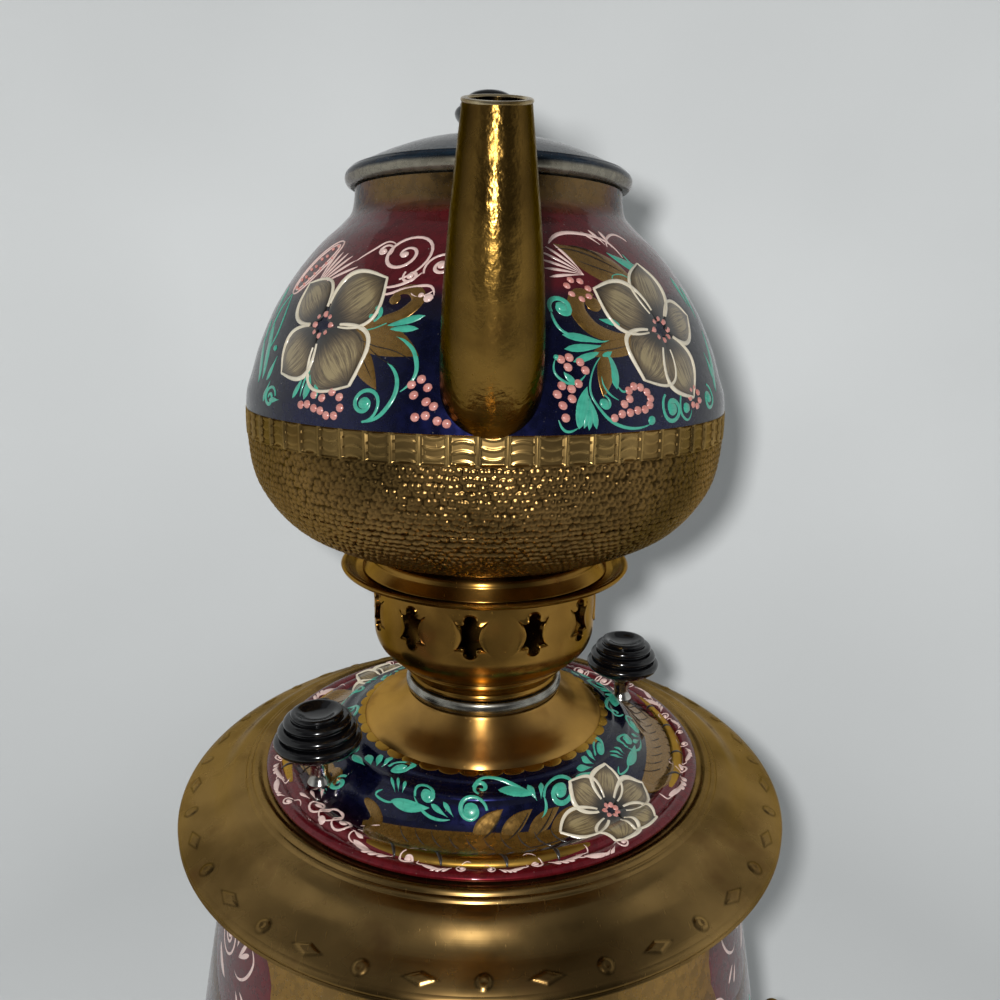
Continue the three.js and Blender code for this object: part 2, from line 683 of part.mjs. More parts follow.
// Openwork key: a flat leaf with two loops, on a hub that fits the plug's stem
function tapKey() {
  const leaf = new THREE.Shape();
  for (let i = 0; i < keyOutlineCount; i += 1) {
    const angle = (i / keyOutlineCount) * Math.PI * 2;
    const pinch = THREE.MathUtils.lerp(keyWaistShare, 1, Math.abs(Math.cos(angle)));
    const x = Math.cos(angle) * keySpan / 2;
    const y = Math.sin(angle) * pinch * keyRise / 2;
    if (i === 0) leaf.moveTo(x, y);
    else leaf.lineTo(x, y);
  }
  for (const side of [-1, 1]) {
    const loop = new THREE.Path();
    const place = side * keyLoopPlaceShare * keySpan;
    const width = keyLoopWidthShare * keySpan / 2;
    const height = keyLoopHeightShare * keyRise / 2;
    for (let i = 0; i < keyLoopCount; i += 1) {
      const angle = -(i / keyLoopCount) * Math.PI * 2;
      const x = place + Math.cos(angle) * width;
      const y = Math.sin(angle) * height;
      if (i === 0) loop.moveTo(x, y);
      else loop.lineTo(x, y);
    }
    leaf.holes.push(loop);
  }
  const plate = new THREE.ExtrudeGeometry(leaf, { depth: keyThickness, bevelEnabled: false });
  plate.translate(0, 0, -keyThickness / 2).rotateX(Math.PI / 2).translate(0, 0, keyHubHeight);
  const hub = toSolid(barUp(keyHubRadius, 0, keyHubHeight, smallSides));
  const socket = toSolid(barUp(plugStemRadius + seatGap, -overrun, keyHubHeight - overrun, smallSides));
  return toSolid(plate).add(hub).subtract(socket);
}

function tapRosette() {
  const from = heaterLoopRadius;
  const disc = barFront(rosetteRadius, from, tapWall + rosetteStand, narrowSides);
  const hole = barFront(shankHole, from - overrun, tapWall + rosetteStand + overrun, narrowSides);
  return toSolid(disc.translate(0, 0, tapRise))
    .subtract(toSolid(hole.translate(0, 0, tapRise)))
    .subtract(bodyKeepOut);
}

function tapGasket() {
  const ring = barFront(gasketRadius, tapWall - tapSeatInside, bodyRadius, narrowSides);
  const hole = barFront(shankHole, heaterLoopRadius, bodyRadius + overrun, narrowSides);
  return toSolid(ring.translate(0, 0, tapRise))
    .subtract(toSolid(hole.translate(0, 0, tapRise)))
    .intersect(bodyInside);
}

// Side handles lie at this distance from the middle
const handleWall = radiusAt(bodyLine, handleRise);
const gripPlace = handleWall + handleReach;
const bracketPlace = gripLength / 2 + seatGap + eyeWidth / 2;

function handleBracket(end) {
  const y = end * bracketPlace;
  const onBody = Math.sqrt(handleWall ** 2 - bracketPlace ** 2);
  const arm = new THREE.CatmullRomCurve3([
    new THREE.Vector3(onBody - overrun, 0, handleRise),
    new THREE.Vector3(onBody + handleReach * armLeaveShare, 0, handleRise - armSag),
    new THREE.Vector3(gripPlace - handleReach * armReturnShare, 0, handleRise - armSag),
    new THREE.Vector3(gripPlace - eyeRadius * armEndShare, 0, handleRise),
  ]);
  const flat = new THREE.CatmullRomCurve3(arm.points.map(({ x, z }) => new THREE.Vector3(0, -x, z)));
  const bar = bentBar(flat, armRadius, [1, armTipShare, armTipShare, armTipShare], smallSides, armSteps);
  const eye = barFront(eyeRadius, -eyeWidth / 2, eyeWidth / 2, narrowSides);
  const foot = barUp(footRadius, onBody - footRadius, onBody + footStand, narrowSides);
  const hole = barFront(handleRodRadius + seatGap, -eyeWidth, eyeWidth, smallSides);
  const turned = piece('arm', bar, brass).geometry.rotateZ(Math.PI / 2).translate(0, y, 0);
  return toSolid(turned)
    .add(toSolid(eye.translate(gripPlace, y, handleRise)))
    .add(toSolid(foot.rotateY(Math.PI / 2).translate(0, y, handleRise)))
    .subtract(toSolid(hole.translate(gripPlace, y, handleRise)))
    .subtract(bodyKeepOut);
}

function handleGrip() {
  const line = outline(gripShares, gripRadius, gripLength);
  const bore = handleRodRadius + seatGap;
  const loop = [new THREE.Vector2(bore, 0), ...line, new THREE.Vector2(bore, gripLength)];
  return revolve(loop, narrowSides);
}

function capNut() {
  const dome = roundBar(capNutRadius, capNutRadius * capNutDomeShare, capNutHeight, hexSides);
  const bore = barUp(handleRodRadius + seatGap, -overrun, capNutHeight * capNutDomeShare, smallSides);
  return toSolid(dome).subtract(toSolid(bore));
}

function heaterTube() {
  const straightTop = vesselWall + seatGap + bushingHeadHeight + heaterRadius / 2;
  const leg = (side) => [
    new THREE.Vector3(side * heaterLegPlace, 0, -heaterLegDown),
    new THREE.Vector3(side * heaterLegPlace, 0, -heaterLegDown / 2),
    new THREE.Vector3(side * heaterLegPlace, 0, 0),
    new THREE.Vector3(side * heaterLegPlace, 0, straightTop / 2),
    new THREE.Vector3(side * heaterLegPlace, 0, straightTop),
    new THREE.Vector3(side * heaterLegPlace, heaterRun * heaterRunShare, (straightTop + heaterRise) / 2),
    new THREE.Vector3(side * (heaterLegPlace + heaterRadius), heaterRun, heaterRise),
  ];
  const loop = Array.from({ length: heaterLoopCount }, (unused, i) => {
    const share = i / (heaterLoopCount - 1);
    const angle = THREE.MathUtils.degToRad(THREE.MathUtils.lerp(heaterStartAngle, heaterEndAngle, share));
    const [x, y] = [heaterLoopRadius * Math.cos(angle), heaterLoopRadius * Math.sin(angle)];
    return new THREE.Vector3(x, y, heaterRise);
  });
  const curve = new THREE.CatmullRomCurve3([...leg(-1), ...loop, ...leg(1).reverse()]);
  return tube(curve, heaterRadius, heaterSides, heaterSteps);
}

function heaterBushing() {
  const low = vesselWall + seatGap;
  const top = low + bushingHeadHeight + overrun;
  const bore = barUp(heaterRadius + seatGap, -bushingDown - overrun, top, narrowSides);
  return toSolid(barUp(bushingHead, low, low + bushingHeadHeight, hexSides))
    .add(toSolid(barUp(bushingRadius, -bushingDown, low + seatGap, smallSides)))
    .subtract(toSolid(bore));
}

// The inlet's own axis is z, from its inner end outwards
function inletShroud() {
  const length = inletOuter - inletInner;
  let shroud = toSolid(barUp(inletRadius, 0, length, narrowSides));
  const hollow = barUp(inletRadius - inletWall, inletFloor, length + overrun, narrowSides);
  shroud = shroud.subtract(toSolid(hollow));
  for (const side of [-1, 1]) {
    const hole = barUp(pinRadius + seatGap, -overrun, inletFloor + overrun, smallSides);
    shroud = shroud.subtract(toSolid(hole.translate(side * pinPlace, 0, 0)));
  }
  return shroud;
}

function inletPin() {
  const line = [
    new THREE.Vector2(0, -pinTail),
    new THREE.Vector2(pinRadius, -pinTail),
    new THREE.Vector2(pinRadius, inletFloor + pinLength - pinRadius * pinTipShare),
    new THREE.Vector2(pinRadius * pinTipShare, inletFloor + pinLength),
    new THREE.Vector2(0, inletFloor + pinLength),
  ];
  return revolve(line, smallSides);
}

// From under a heater leg, down through the base's flange and back to its pin
function leadWire(side) {
  const top = bodyBottom - heaterLegDown - seatGap;
  const pinEnd = inletInner - pinTail - seatGap;
  const curve = new THREE.CatmullRomCurve3([
    new THREE.Vector3(side * heaterLegPlace, 0, top),
    new THREE.Vector3(side * heaterLegPlace, 0, baseHeight),
    new THREE.Vector3(side * heaterLegPlace, 0, inletRise + leadBend),
    new THREE.Vector3(side * (heaterLegPlace + pinPlace) / 2, leadBend / 2, inletRise + leadBend / 4),
    new THREE.Vector3(side * pinPlace, pinEnd - leadBend / 2, inletRise),
    new THREE.Vector3(side * pinPlace, pinEnd - leadBend / 4, inletRise),
    new THREE.Vector3(side * pinPlace, pinEnd, inletRise),
  ]);
  return tube(curve, leadRadius, leadSides, leadSteps);
}

function teapotBody() {
  const footInner = teapotFootRadius - teapotFootWidth;
  const inner = offsetLine(potLine, sheetWall).slice(1).reverse();
  const loop = [
    new THREE.Vector2(0, teapotFloor),
    new THREE.Vector2(footInner, teapotFloor),
    new THREE.Vector2(footInner, 0),
    new THREE.Vector2(teapotFootRadius, 0),
    new THREE.Vector2(teapotFootRadius, teapotFootStep),
    ...potLine,
    ...inner,
    new THREE.Vector2(0, inner[inner.length - 1].y),
  ];
  const way = barFront(
    spoutRootRadius - spoutWall - overrun, teapotRadius / 2, teapotRadius * 2, narrowSides);
  return revolve(loop, wideSides).subtract(toSolid(way.translate(0, 0, spoutPlaces[0][1])));
}

const spoutCurve = (places) => new THREE.CatmullRomCurve3(
  places.map(([out, up]) => new THREE.Vector3(0, -out, up)));

function teapotSpout() {
  const last = spoutPlaces.length - 1;
  const [tipOut, tipUp] = spoutPlaces[last];
  const [nearOut, nearUp] = spoutPlaces[last - 1];
  const past = [tipOut + (tipOut - nearOut) / 2, tipUp + (tipUp - nearUp) / 2];
  const [rootOut, rootUp] = spoutPlaces[0];
  const before = [rootOut - overrun, rootUp - overrun / 2];
  const outer = bentBar(spoutCurve(spoutPlaces), spoutRootRadius, spoutShares, narrowSides, spoutSteps);
  const inner = bentBar(
    spoutCurve([before, ...spoutPlaces, past]), spoutRootRadius - spoutWall,
    [spoutShares[0], ...spoutShares, spoutShares[last]],
    narrowSides, spoutSteps);
  return outer.subtract(inner).subtract(potKeepOut);
}

function strainer() {
  let disc = toSolid(barUp(strainerRadius, 0, sheetWall, narrowSides));
  const hole = barUp(strainerHoleRadius, -overrun, sheetWall + overrun, hexSides);
  disc = disc.subtract(toSolid(hole));
  for (const turn of turnsOf(strainerHoleCount)) {
    const ring = hole.clone().translate(strainerRadius * strainerRingShare, 0, 0).rotateZ(turn);
    disc = disc.subtract(toSolid(ring));
  }
  return disc;
}

const handleCurve = new THREE.CatmullRomCurve3(
  handlePlaces.map(([out, up]) => new THREE.Vector3(0, out, up)));

// A socket on the belly round one end of the handle
function ferrule(end) {
  const tip = handleCurve.getPointAt(end);
  const along = handleCurve.getTangentAt(end).multiplyScalar(end === 0 ? -1 : 1);
  const turn = Math.atan2(along.z, along.y);
  const radius = handleRadius * ferruleShare + seatGap;
  const outer = barFront(radius + ferruleWall, -ferruleLength / 3, ferruleLength, smallSides);
  const bore = barFront(radius, -ferruleLength, 0, narrowSides);
  const settle = (bar) => toSolid(bar.rotateZ(Math.PI).rotateX(turn).translate(0, tip.y, tip.z));
  return settle(outer).subtract(settle(bore)).subtract(potKeepOut);
}

function potLid() {
  const line = outline(potLidShares, potLidRadius, potLidHeight);
  const skirt = radiusAt(potLine, teapotHeight * potMouthShare) - sheetWall - seatGap;
  const middle = new THREE.Vector2(studHole, potLidHeight);
  const underside = offsetLine([...line.slice(2), middle], sheetWall).slice(1).reverse();
  const loop = [
    new THREE.Vector2(skirt - sheetWall, -potSkirtDepth),
    new THREE.Vector2(skirt, -potSkirtDepth),
    new THREE.Vector2(skirt, 0),
    ...line,
    middle,
    ...underside,
    new THREE.Vector2(skirt - sheetWall, underside[underside.length - 1].y - sheetWall),
  ];
  const vent = barUp(ventRadius, 0, potLidHeight + overrun, smallSides).translate(0, ventPlace, 0);
  return revolve(loop, wideSides).subtract(toSolid(vent));
}

function potWasher() {
  const bore = toSolid(barUp(studHole, -overrun, potWasherHeight + overrun, smallSides));
  return toSolid(barUp(potWasherRadius, 0, potWasherHeight, narrowSides)).subtract(bore);
}

function potScrew() {
  const top = sheetWall + seatGap * 3 + potWasherHeight + studUp;
  const head = toSolid(barUp(potScrewHeadRadius, -potScrewHeadHeight, 0, smallSides));
  return head.add(toSolid(barUp(studRadius, -potScrewHeadHeight, top, smallSides)));
}

const samovar = new THREE.Group();

const stand = new THREE.Group();
stand.add(
  piece('bottom_cover', bottomCover(), steel),
  piece('base_shell', baseShell(), brass),
  piece('neck', neck(), brass, [0, 0, neckBottom]),
  piece('tie_stud', tieStud(), steel),
  piece('tie_nut', nut(tieNutRadius, tieNutHeight, tieStudRadius + seatGap), steel,
    [0, 0, baseHeight - vesselWall - seatGap - tieNutHeight]),
);
turnsOf(coverScrewCount).forEach((turn, i) => {
  const place = [coverScrewRing * Math.cos(turn), coverScrewRing * Math.sin(turn), 0];
  stand.add(piece(`cover_screw_${i + 1}`, coverScrew(), steel, place));
});

const inlet = new THREE.Group();
inlet.position.set(0, inletInner, inletRise);
inlet.rotation.set(-Math.PI / 2, 0, 0);
inlet.add(
  piece('inlet_shroud', inletShroud(), blackPlastic),
  piece('inlet_pin_left', inletPin(), nickel, [-pinPlace, 0, 0]),
  piece('inlet_pin_right', inletPin(), nickel, [pinPlace, 0, 0]),
);
stand.add(
  inlet,
  piece('lead_left', leadWire(-1), rubber),
  piece('lead_right', leadWire(1), rubber),
);

const vessel = new THREE.Group();
vessel.position.set(0, 0, bodyBottom);
vessel.add(
  piece('body_shell', bodyShell(), paintedBrass),
  piece('heater_tube', heaterTube(), nickel),
  piece('tap_body', tapBody(), brass),
  piece('tap_rosette', tapRosette(), brass),
  piece('tap_gasket', tapGasket(), rubber),
  piece('tap_nut', nut(tapNutRadius, tapNutHeight, shankHole), brass,
    [0, -tapWall + tapSeatInside + seatGap, tapRise], [-Math.PI / 2, 0, 0]),
  piece('tap_plug', tapPlug(), brass, [0, -tapAxis, tapRise]),
  piece('tap_washer', nut(washerRadius, washerHeight, plugTailRadius + seatGap), steel,
    [0, -tapAxis, tapRise - tapHousingDown - seatGap - washerHeight]),
  piece('tap_tail_nut', nut(tailNutRadius, tailNutHeight, plugTailRadius + seatGap), brass,
    [0, -tapAxis, tapRise - tapHousingDown - seatGap * 2 - washerHeight - tailNutHeight]),
  piece('tap_key', tapKey(), brass,
    [0, -tapAxis, tapRise + tapHousingUp + plugStemHeight + overrun + seatGap - keyHubHeight]),
);
for (const [name, side] of [['left', -1], ['right', 1]]) {
  const leg = side * heaterLegPlace;
  vessel.add(
    piece(`heater_bushing_${name}`, heaterBushing(), brass, [leg, 0, 0]),
    piece(`heater_nut_${name}`, nut(bushingHead, heaterNutHeight, bushingRadius + seatGap), brass,
      [leg, 0, -seatGap - heaterNutHeight]),
  );
  const handle = new THREE.Group();
  handle.rotation.set(0, 0, side > 0 ? 0 : Math.PI);
  const rodEnd = bracketPlace + eyeWidth / 2 + seatGap;
  const rodReach = rodEnd + capNutHeight / 2;
  const nutFront = [gripPlace, -rodEnd, handleRise];
  const nutBack = [gripPlace, rodEnd, handleRise];
  const rod = barFront(handleRodRadius, -rodReach, rodReach, smallSides);
  handle.add(
    piece(`handle_${name}_bracket_1`, handleBracket(-1), brass),
    piece(`handle_${name}_bracket_2`, handleBracket(1), brass),
    piece(`handle_${name}_grip`, handleGrip(), blackPlastic,
      [gripPlace, -gripLength / 2, handleRise], [-Math.PI / 2, 0, 0]),
    piece(`handle_${name}_rod`, toSolid(rod), steel, [gripPlace, 0, handleRise]),
    piece(`handle_${name}_cap_nut_1`, capNut(), brass, nutFront, [Math.PI / 2, 0, 0]),
    piece(`handle_${name}_cap_nut_2`, capNut(), brass, nutBack, [-Math.PI / 2, 0, 0]),
  );
  vessel.add(handle);
}

const cover = new THREE.Group();
cover.position.set(0, 0, lidBottom);
cover.add(
  piece('lid', lid(), navyBrass),
  piece('lid_skirt', lidSkirt(), steel),
  piece('steel_ring', steelRing(), steel, [0, 0, lidHeight + seatGap]),
);
knobAngles.forEach((angle, i) => {
  const turn = THREE.MathUtils.degToRad(angle);
  const x = knobPlace * Math.cos(turn);
  const y = knobPlace * Math.sin(turn);
  const top = lidHeight * lidShares[1][1];
  const under = top - sheetWall - seatGap - knobNutHeight;
  cover.add(
    piece(`lid_post_${knobNames[i]}`, lidPost(), nickel, [x, y, top + seatGap]),
    piece(`lid_knob_${knobNames[i]}`, ridgedKnob(knobRadius, knobHeight), blackPlastic,
      [x, y, top + seatGap * 2 + postHeight]),
    piece(`lid_nut_${knobNames[i]}`, nut(knobNutRadius, knobNutHeight, studHole), steel, [x, y, under]),
  );
});

const pot = new THREE.Group();
pot.position.set(0, 0, teapotBottom);
pot.rotation.set(0, 0, THREE.MathUtils.degToRad(teapotTurn));
const strainerTop = spoutPlaces[0][1] + strainerRadius;
const strainerPlace = radiusAt(potLine, strainerTop) - sheetWall - strainerSetback;
const potHandle = bentBar(handleCurve, handleRadius, handleShares, smallSides, handleSteps);
pot.add(
  piece('teapot_body', teapotBody(), paintedBrass),
  piece('teapot_spout', teapotSpout(), brass),
  piece('teapot_strainer', strainer(), brass, [0, -strainerPlace, spoutPlaces[0][1]], [Math.PI / 2, 0, 0]),
  piece('teapot_handle', potHandle, blackPlastic),
  piece('teapot_ferrule_top', ferrule(0), brass),
  piece('teapot_ferrule_bottom', ferrule(1), brass),
);

const potTop = new THREE.Group();
potTop.position.set(0, 0, potLidBottom);
potTop.rotation.copy(pot.rotation);
const washerBottom = potLidHeight + seatGap;
potTop.add(
  piece('teapot_lid', potLid(), navyBrass),
  piece('teapot_lid_washer', potWasher(), nickel, [0, 0, washerBottom]),
  piece('teapot_lid_knob', ridgedKnob(potKnobRadius, potKnobHeight), blackPlastic,
    [0, 0, washerBottom + potWasherHeight + seatGap]),
  piece('teapot_lid_screw', potScrew(), steel, [0, 0, potLidHeight - sheetWall - seatGap]),
);

samovar.add(
  stand,
  vessel,
  piece('collar', collar(), brass, [0, 0, collarSeat]),
  cover,
  piece('crown', crown(), brass, [0, 0, crownBottom]),
  pot,
  potTop,
);

export default samovar;
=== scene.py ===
import json
import math

import bmesh
import bpy
import numpy as np
from mathutils import Matrix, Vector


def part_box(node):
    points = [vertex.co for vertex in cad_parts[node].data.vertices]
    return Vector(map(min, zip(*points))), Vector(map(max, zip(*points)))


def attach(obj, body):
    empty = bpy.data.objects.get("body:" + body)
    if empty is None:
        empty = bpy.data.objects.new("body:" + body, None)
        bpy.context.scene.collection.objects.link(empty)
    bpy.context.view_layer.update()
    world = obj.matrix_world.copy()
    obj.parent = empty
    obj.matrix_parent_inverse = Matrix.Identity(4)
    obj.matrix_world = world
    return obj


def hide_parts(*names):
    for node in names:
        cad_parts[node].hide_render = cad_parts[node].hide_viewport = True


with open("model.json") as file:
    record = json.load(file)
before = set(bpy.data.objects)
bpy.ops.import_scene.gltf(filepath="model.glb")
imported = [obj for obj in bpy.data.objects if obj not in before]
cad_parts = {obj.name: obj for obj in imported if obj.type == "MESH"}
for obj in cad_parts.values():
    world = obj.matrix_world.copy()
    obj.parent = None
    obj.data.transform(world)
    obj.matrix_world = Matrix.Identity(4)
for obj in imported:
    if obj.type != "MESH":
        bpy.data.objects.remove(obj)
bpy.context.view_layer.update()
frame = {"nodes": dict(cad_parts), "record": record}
print("packed model loaded:", len(frame["nodes"]), "nodes")

metre = 0.001  # shapes are written in millimetres and turned to metres when a mesh is made
fullTurn = 2 * math.pi


# the two corners of a node's box, mm
def corners(node):
    return [np.array(corner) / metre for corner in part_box(node)]


# height at which a node starts, mm
def lowest(node):
    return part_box(node)[0].z / metre


# middle of a node's box, mm
def middle(node):
    low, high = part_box(node)
    return np.array((low + high) / 2) / metre


# length of a line from its start to each of its points
def arcLengths(line):
    return np.concatenate([[0.0], np.cumsum(np.linalg.norm(np.diff(line, axis=0), axis=1))])


# a smooth line through points: cubic pieces whose slopes are the neighbouring chords' mean,
# weighted by length, resampled evenly and cut short by trim at either end
def smoothLine(points, step, trim=(0.0, 0.0)):
    p = np.asarray(points, float)
    gap = np.linalg.norm(np.diff(p, axis=0), axis=1)[:, None]
    chord = np.diff(p, axis=0) / gap
    if len(p) > 2:
        inner = (chord[:-1] * gap[1:] + chord[1:] * gap[:-1]) / (gap[:-1] + gap[1:])
        slope = np.vstack([2 * chord[:1] - inner[:1], inner, 2 * chord[-1:] - inner[-1:]])
    else:
        slope = np.vstack([chord, chord])
    s = np.linspace(0, 1, 25)[:-1][None, :, None]
    g = gap[:, None]
    dense = (2 * s**3 - 3 * s**2 + 1) * p[:-1, None] + (s**3 - 2 * s**2 + s) * slope[:-1, None] * g
    dense += (3 * s**2 - 2 * s**3) * p[1:, None] + (s**3 - s**2) * slope[1:, None] * g
    dense = np.vstack([dense.reshape(-1, p.shape[1]), p[-1:]])
    along = arcLengths(dense)
    count = max(2, math.ceil((along[-1] - sum(trim)) / step) + 1)
    places = np.linspace(trim[0], along[-1] - trim[1], count)
    return np.stack([np.interp(places, along, column) for column in dense.T], axis=1)


# a section made of smooth stretches (radius, height), each from the last one's end, that meet in small
# rounded corners, each corner a quadratic curve from one trimmed end to the next
def section(stretches, step=0.8, corner=0.35, closed=False):
    count = len(stretches)
    stretches = [stretches[0]] + [[before[-1]] + after for before, after in zip(stretches, stretches[1:])]
    rows = []
    for i, stretch in enumerate(stretches):
        reach = min(corner, 0.3 * arcLengths(np.asarray(stretch, float))[-1])
        trim = (reach if closed or i > 0 else 0.0, reach if closed or i < count - 1 else 0.0)
        rows.append(smoothLine(stretch, step, trim))
    joined = []
    s = np.array([[0.25], [0.5], [0.75]])
    for i, (stretch, row) in enumerate(zip(stretches, rows)):
        joined.append(row)
        if closed or i < count - 1:
            turn = np.asarray(stretch[-1], float)
            joined.append((1 - s) ** 2 * row[-1] + 2 * s * (1 - s) * turn + s**2 * rows[(i + 1) % count][0])
    return np.vstack(joined)


# a value at each point of a path, from rows of (share of its length, value)
def alongPath(path, rows):
    lengths = arcLengths(path)
    return np.interp(lengths / lengths[-1], *np.array(rows).T)


# unit vectors square to a line of (radius, height), to the right of the way it runs
def outward(line):
    along = np.gradient(line, arcLengths(line), axis=0)
    along /= np.linalg.norm(along, axis=1)[:, None]
    return np.stack([along[:, 1], -along[:, 0]], axis=1)


# an outer line and the same line set back by the wall, as one closed ring of sheet metal
def sheetRing(outer, wall, every=6):
    back = np.unique(np.append(np.arange(0, len(outer), every), len(outer) - 1))
    inner = (outer - outward(outer) * wall)[back][::-1]
    inner[:, 0] = np.maximum(inner[:, 0], 0.5)
    return np.vstack([outer, inner])


# quads between the neighbouring rows and columns of a grid
def gridQuads(rows, columns, closeRows=False, closeColumns=True):
    r = np.arange(rows if closeRows else rows - 1)[:, None]
    c = np.arange(columns if closeColumns else columns - 1)[None, :]
    nextRow, nextColumn = (r + 1) % rows, (c + 1) % columns
    start, end = r * columns, nextRow * columns
    quad = [start + c, start + nextColumn, end + nextColumn, end + c]
    return np.stack(np.broadcast_arrays(*quad), axis=-1).reshape(-1, 4)


# faces and corner uv of a grid of rows round a closed section; rows shrunk to a point become poles
def gridShell(points, arcs, closed, hollow):
    rows, columns = points.shape[:2]
    spread = np.abs(points - points[:, :1]).max(axis=(1, 2))
    first, last = (int(not closed and spread[0] < 1e-6), int(not closed and spread[-1] < 1e-6))
    kept = points[first:rows - last]
    count = len(kept)
    quads = gridQuads(count, columns, closed)
    c = np.arange(columns)
    u = np.stack([c, c + 1, c + 1, c], axis=1) / columns
    heights = np.append(arcs, arcs[-1] + 1.0)[first:]
    r = np.arange(count if closed else count - 1)
    v = np.stack([heights[r], heights[r], heights[r + 1], heights[r + 1]], axis=1)
    uv = np.stack(np.broadcast_arrays(u[None], v[:, None]), axis=-1).reshape(-1, 4, 2)
    flat = kept.reshape(-1, 3)
    marks = hollow[first:rows - last].reshape(-1)
    triangles, triangleUv = [], []
    if first:
        pole = len(flat)
        flat, marks = np.vstack([flat, points[0, :1]]), np.append(marks, hollow[0, 0])
        triangles.append(np.stack([np.full(columns, pole), (c + 1) % columns, c], axis=1))
        triangleUv.append(np.stack([u[:, [0, 1, 0]], np.tile([arcs[0], arcs[1], arcs[1]], (columns, 1))], -1))
    if last:
        pole, base = len(flat), (count - 1) * columns
        flat, marks = np.vstack([flat, points[-1, :1]]), np.append(marks, hollow[-1, 0])
        triangles.append(np.stack([base + c, base + (c + 1) % columns, np.full(columns, pole)], axis=1))
        triangleUv.append(np.stack([u[:, [0, 1, 0]], np.tile([arcs[-2], arcs[-2], arcs[-1]], (columns, 1))],
                                   -1))
    return {
        "points": flat,
        "quads": quads,
        "quadUv": uv,
        "triangles": np.vstack(triangles) if triangles else np.zeros((0, 3), int),
        "triangleUv": np.vstack(triangleUv) if triangles else np.zeros((0, 3, 2)),
        "hollow": marks,
    }


# a line of (radius, height) spun about the upright axis: x = r sin(azimuth), y = -r cos(azimuth),
# where azimuth 0 faces the tap. lift(azimuth, arc) moves a point along the line's normal, the dark mark
# (azimuth, arc) darkens it from 0 to 1 for dark lacquer and patina in recesses and for painted shade, place
# is a 4 by 4 table that sets it down in mm
def spun(line, columns=160, closed=False, lift=None, hollow=None, place=None):
    arcs = arcLengths(line)
    azimuth, arc = np.meshgrid(np.arange(columns) / columns * fullTurn, arcs)
    normal = outward(line)
    radius = np.repeat(line[:, :1], columns, axis=1)
    height = np.repeat(line[:, 1:], columns, axis=1)
    if lift:
        rise = lift(azimuth, arc)
        radius = radius + rise * normal[:, :1]
        height = height + rise * normal[:, 1:]
    points = np.stack([radius * np.sin(azimuth), -radius * np.cos(azimuth), height], axis=-1)
    if place is not None:
        points = points @ np.array(place)[:3, :3].T + np.array(place)[:3, 3]
    marks = hollow(azimuth, arc) if hollow else np.zeros_like(radius)
    return gridShell(points, arcs, closed, marks)


# a round or oval section carried along a path: each ring is centre + cos(a) across + sin(a) side,
# where side stays put and across is square to it and to the path; a bore makes it a pipe
def carried(path, radius, columns=32, side=(1, 0, 0), bore=None, flat=1.0, hollow=None):
    arcs = arcLengths(path)
    along = np.gradient(path, arcs, axis=0)
    along /= np.linalg.norm(along, axis=1)[:, None]
    side = np.asarray(side, float)
    across = np.cross(side, along)
    across /= np.linalg.norm(across, axis=1)[:, None]
    radius = np.broadcast_to(radius, arcs.shape)
    if bore is not None:
        path, across = np.vstack([path, path[::-1]]), np.vstack([across, across[::-1]])
        radius = np.concatenate([radius, np.broadcast_to(bore, arcs.shape)[::-1]])
        arcs = np.concatenate([arcs, 2 * arcs[-1] - arcs[::-1] + 1.0])
    else:
        path = np.vstack([path[:1], path, path[-1:]])
        across = np.vstack([across[:1], across, across[-1:]])
        radius = np.concatenate([[0.0], radius, [0.0]])
        arcs = np.concatenate([[arcs[0] - 1.0], arcs, [arcs[-1] + 1.0]])
    angle = np.arange(columns) / columns * fullTurn
    ring = np.cos(angle)[None, :, None] * across[:, None] * flat + np.sin(angle)[None, :, None] * side
    points = path[:, None] + ring * radius[:, None, None]
    marks = hollow(*np.meshgrid(angle, arcs)) if hollow else np.zeros(points.shape[:2])
    return gridShell(points, arcs, bore is not None, marks)


# turns a shell's faces over if they look inwards: a closed shell's signed volume is above zero
def facedOut(shell):
    halves = np.vstack([shell["quads"][:, [0, 1, 2]], shell["quads"][:, [0, 2, 3]], shell["triangles"]])
    a, b, c = (shell["points"][halves[:, k]] for k in range(3))
    if np.einsum("ij,ij->", a - shell["points"][0], np.cross(b - a, c - a)) < 0:
        for key in ("quads", "quadUv", "triangles", "triangleUv"):
            shell[key] = shell[key][:, ::-1]
    return shell


# makes an object of a mesh, with its finish, the body it rides and the CAD nodes it stands for
def addPiece(mesh, body, finish, replaces=(), sharp=34):
    mesh.materials.append(finish)
    mesh.shade_smooth()
    mesh.set_sharp_from_angle(angle=math.radians(sharp))
    piece = bpy.data.objects.new(mesh.name, mesh)
    bpy.context.scene.collection.objects.link(piece)
    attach(piece, body)
    if replaces:
        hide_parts(*replaces)


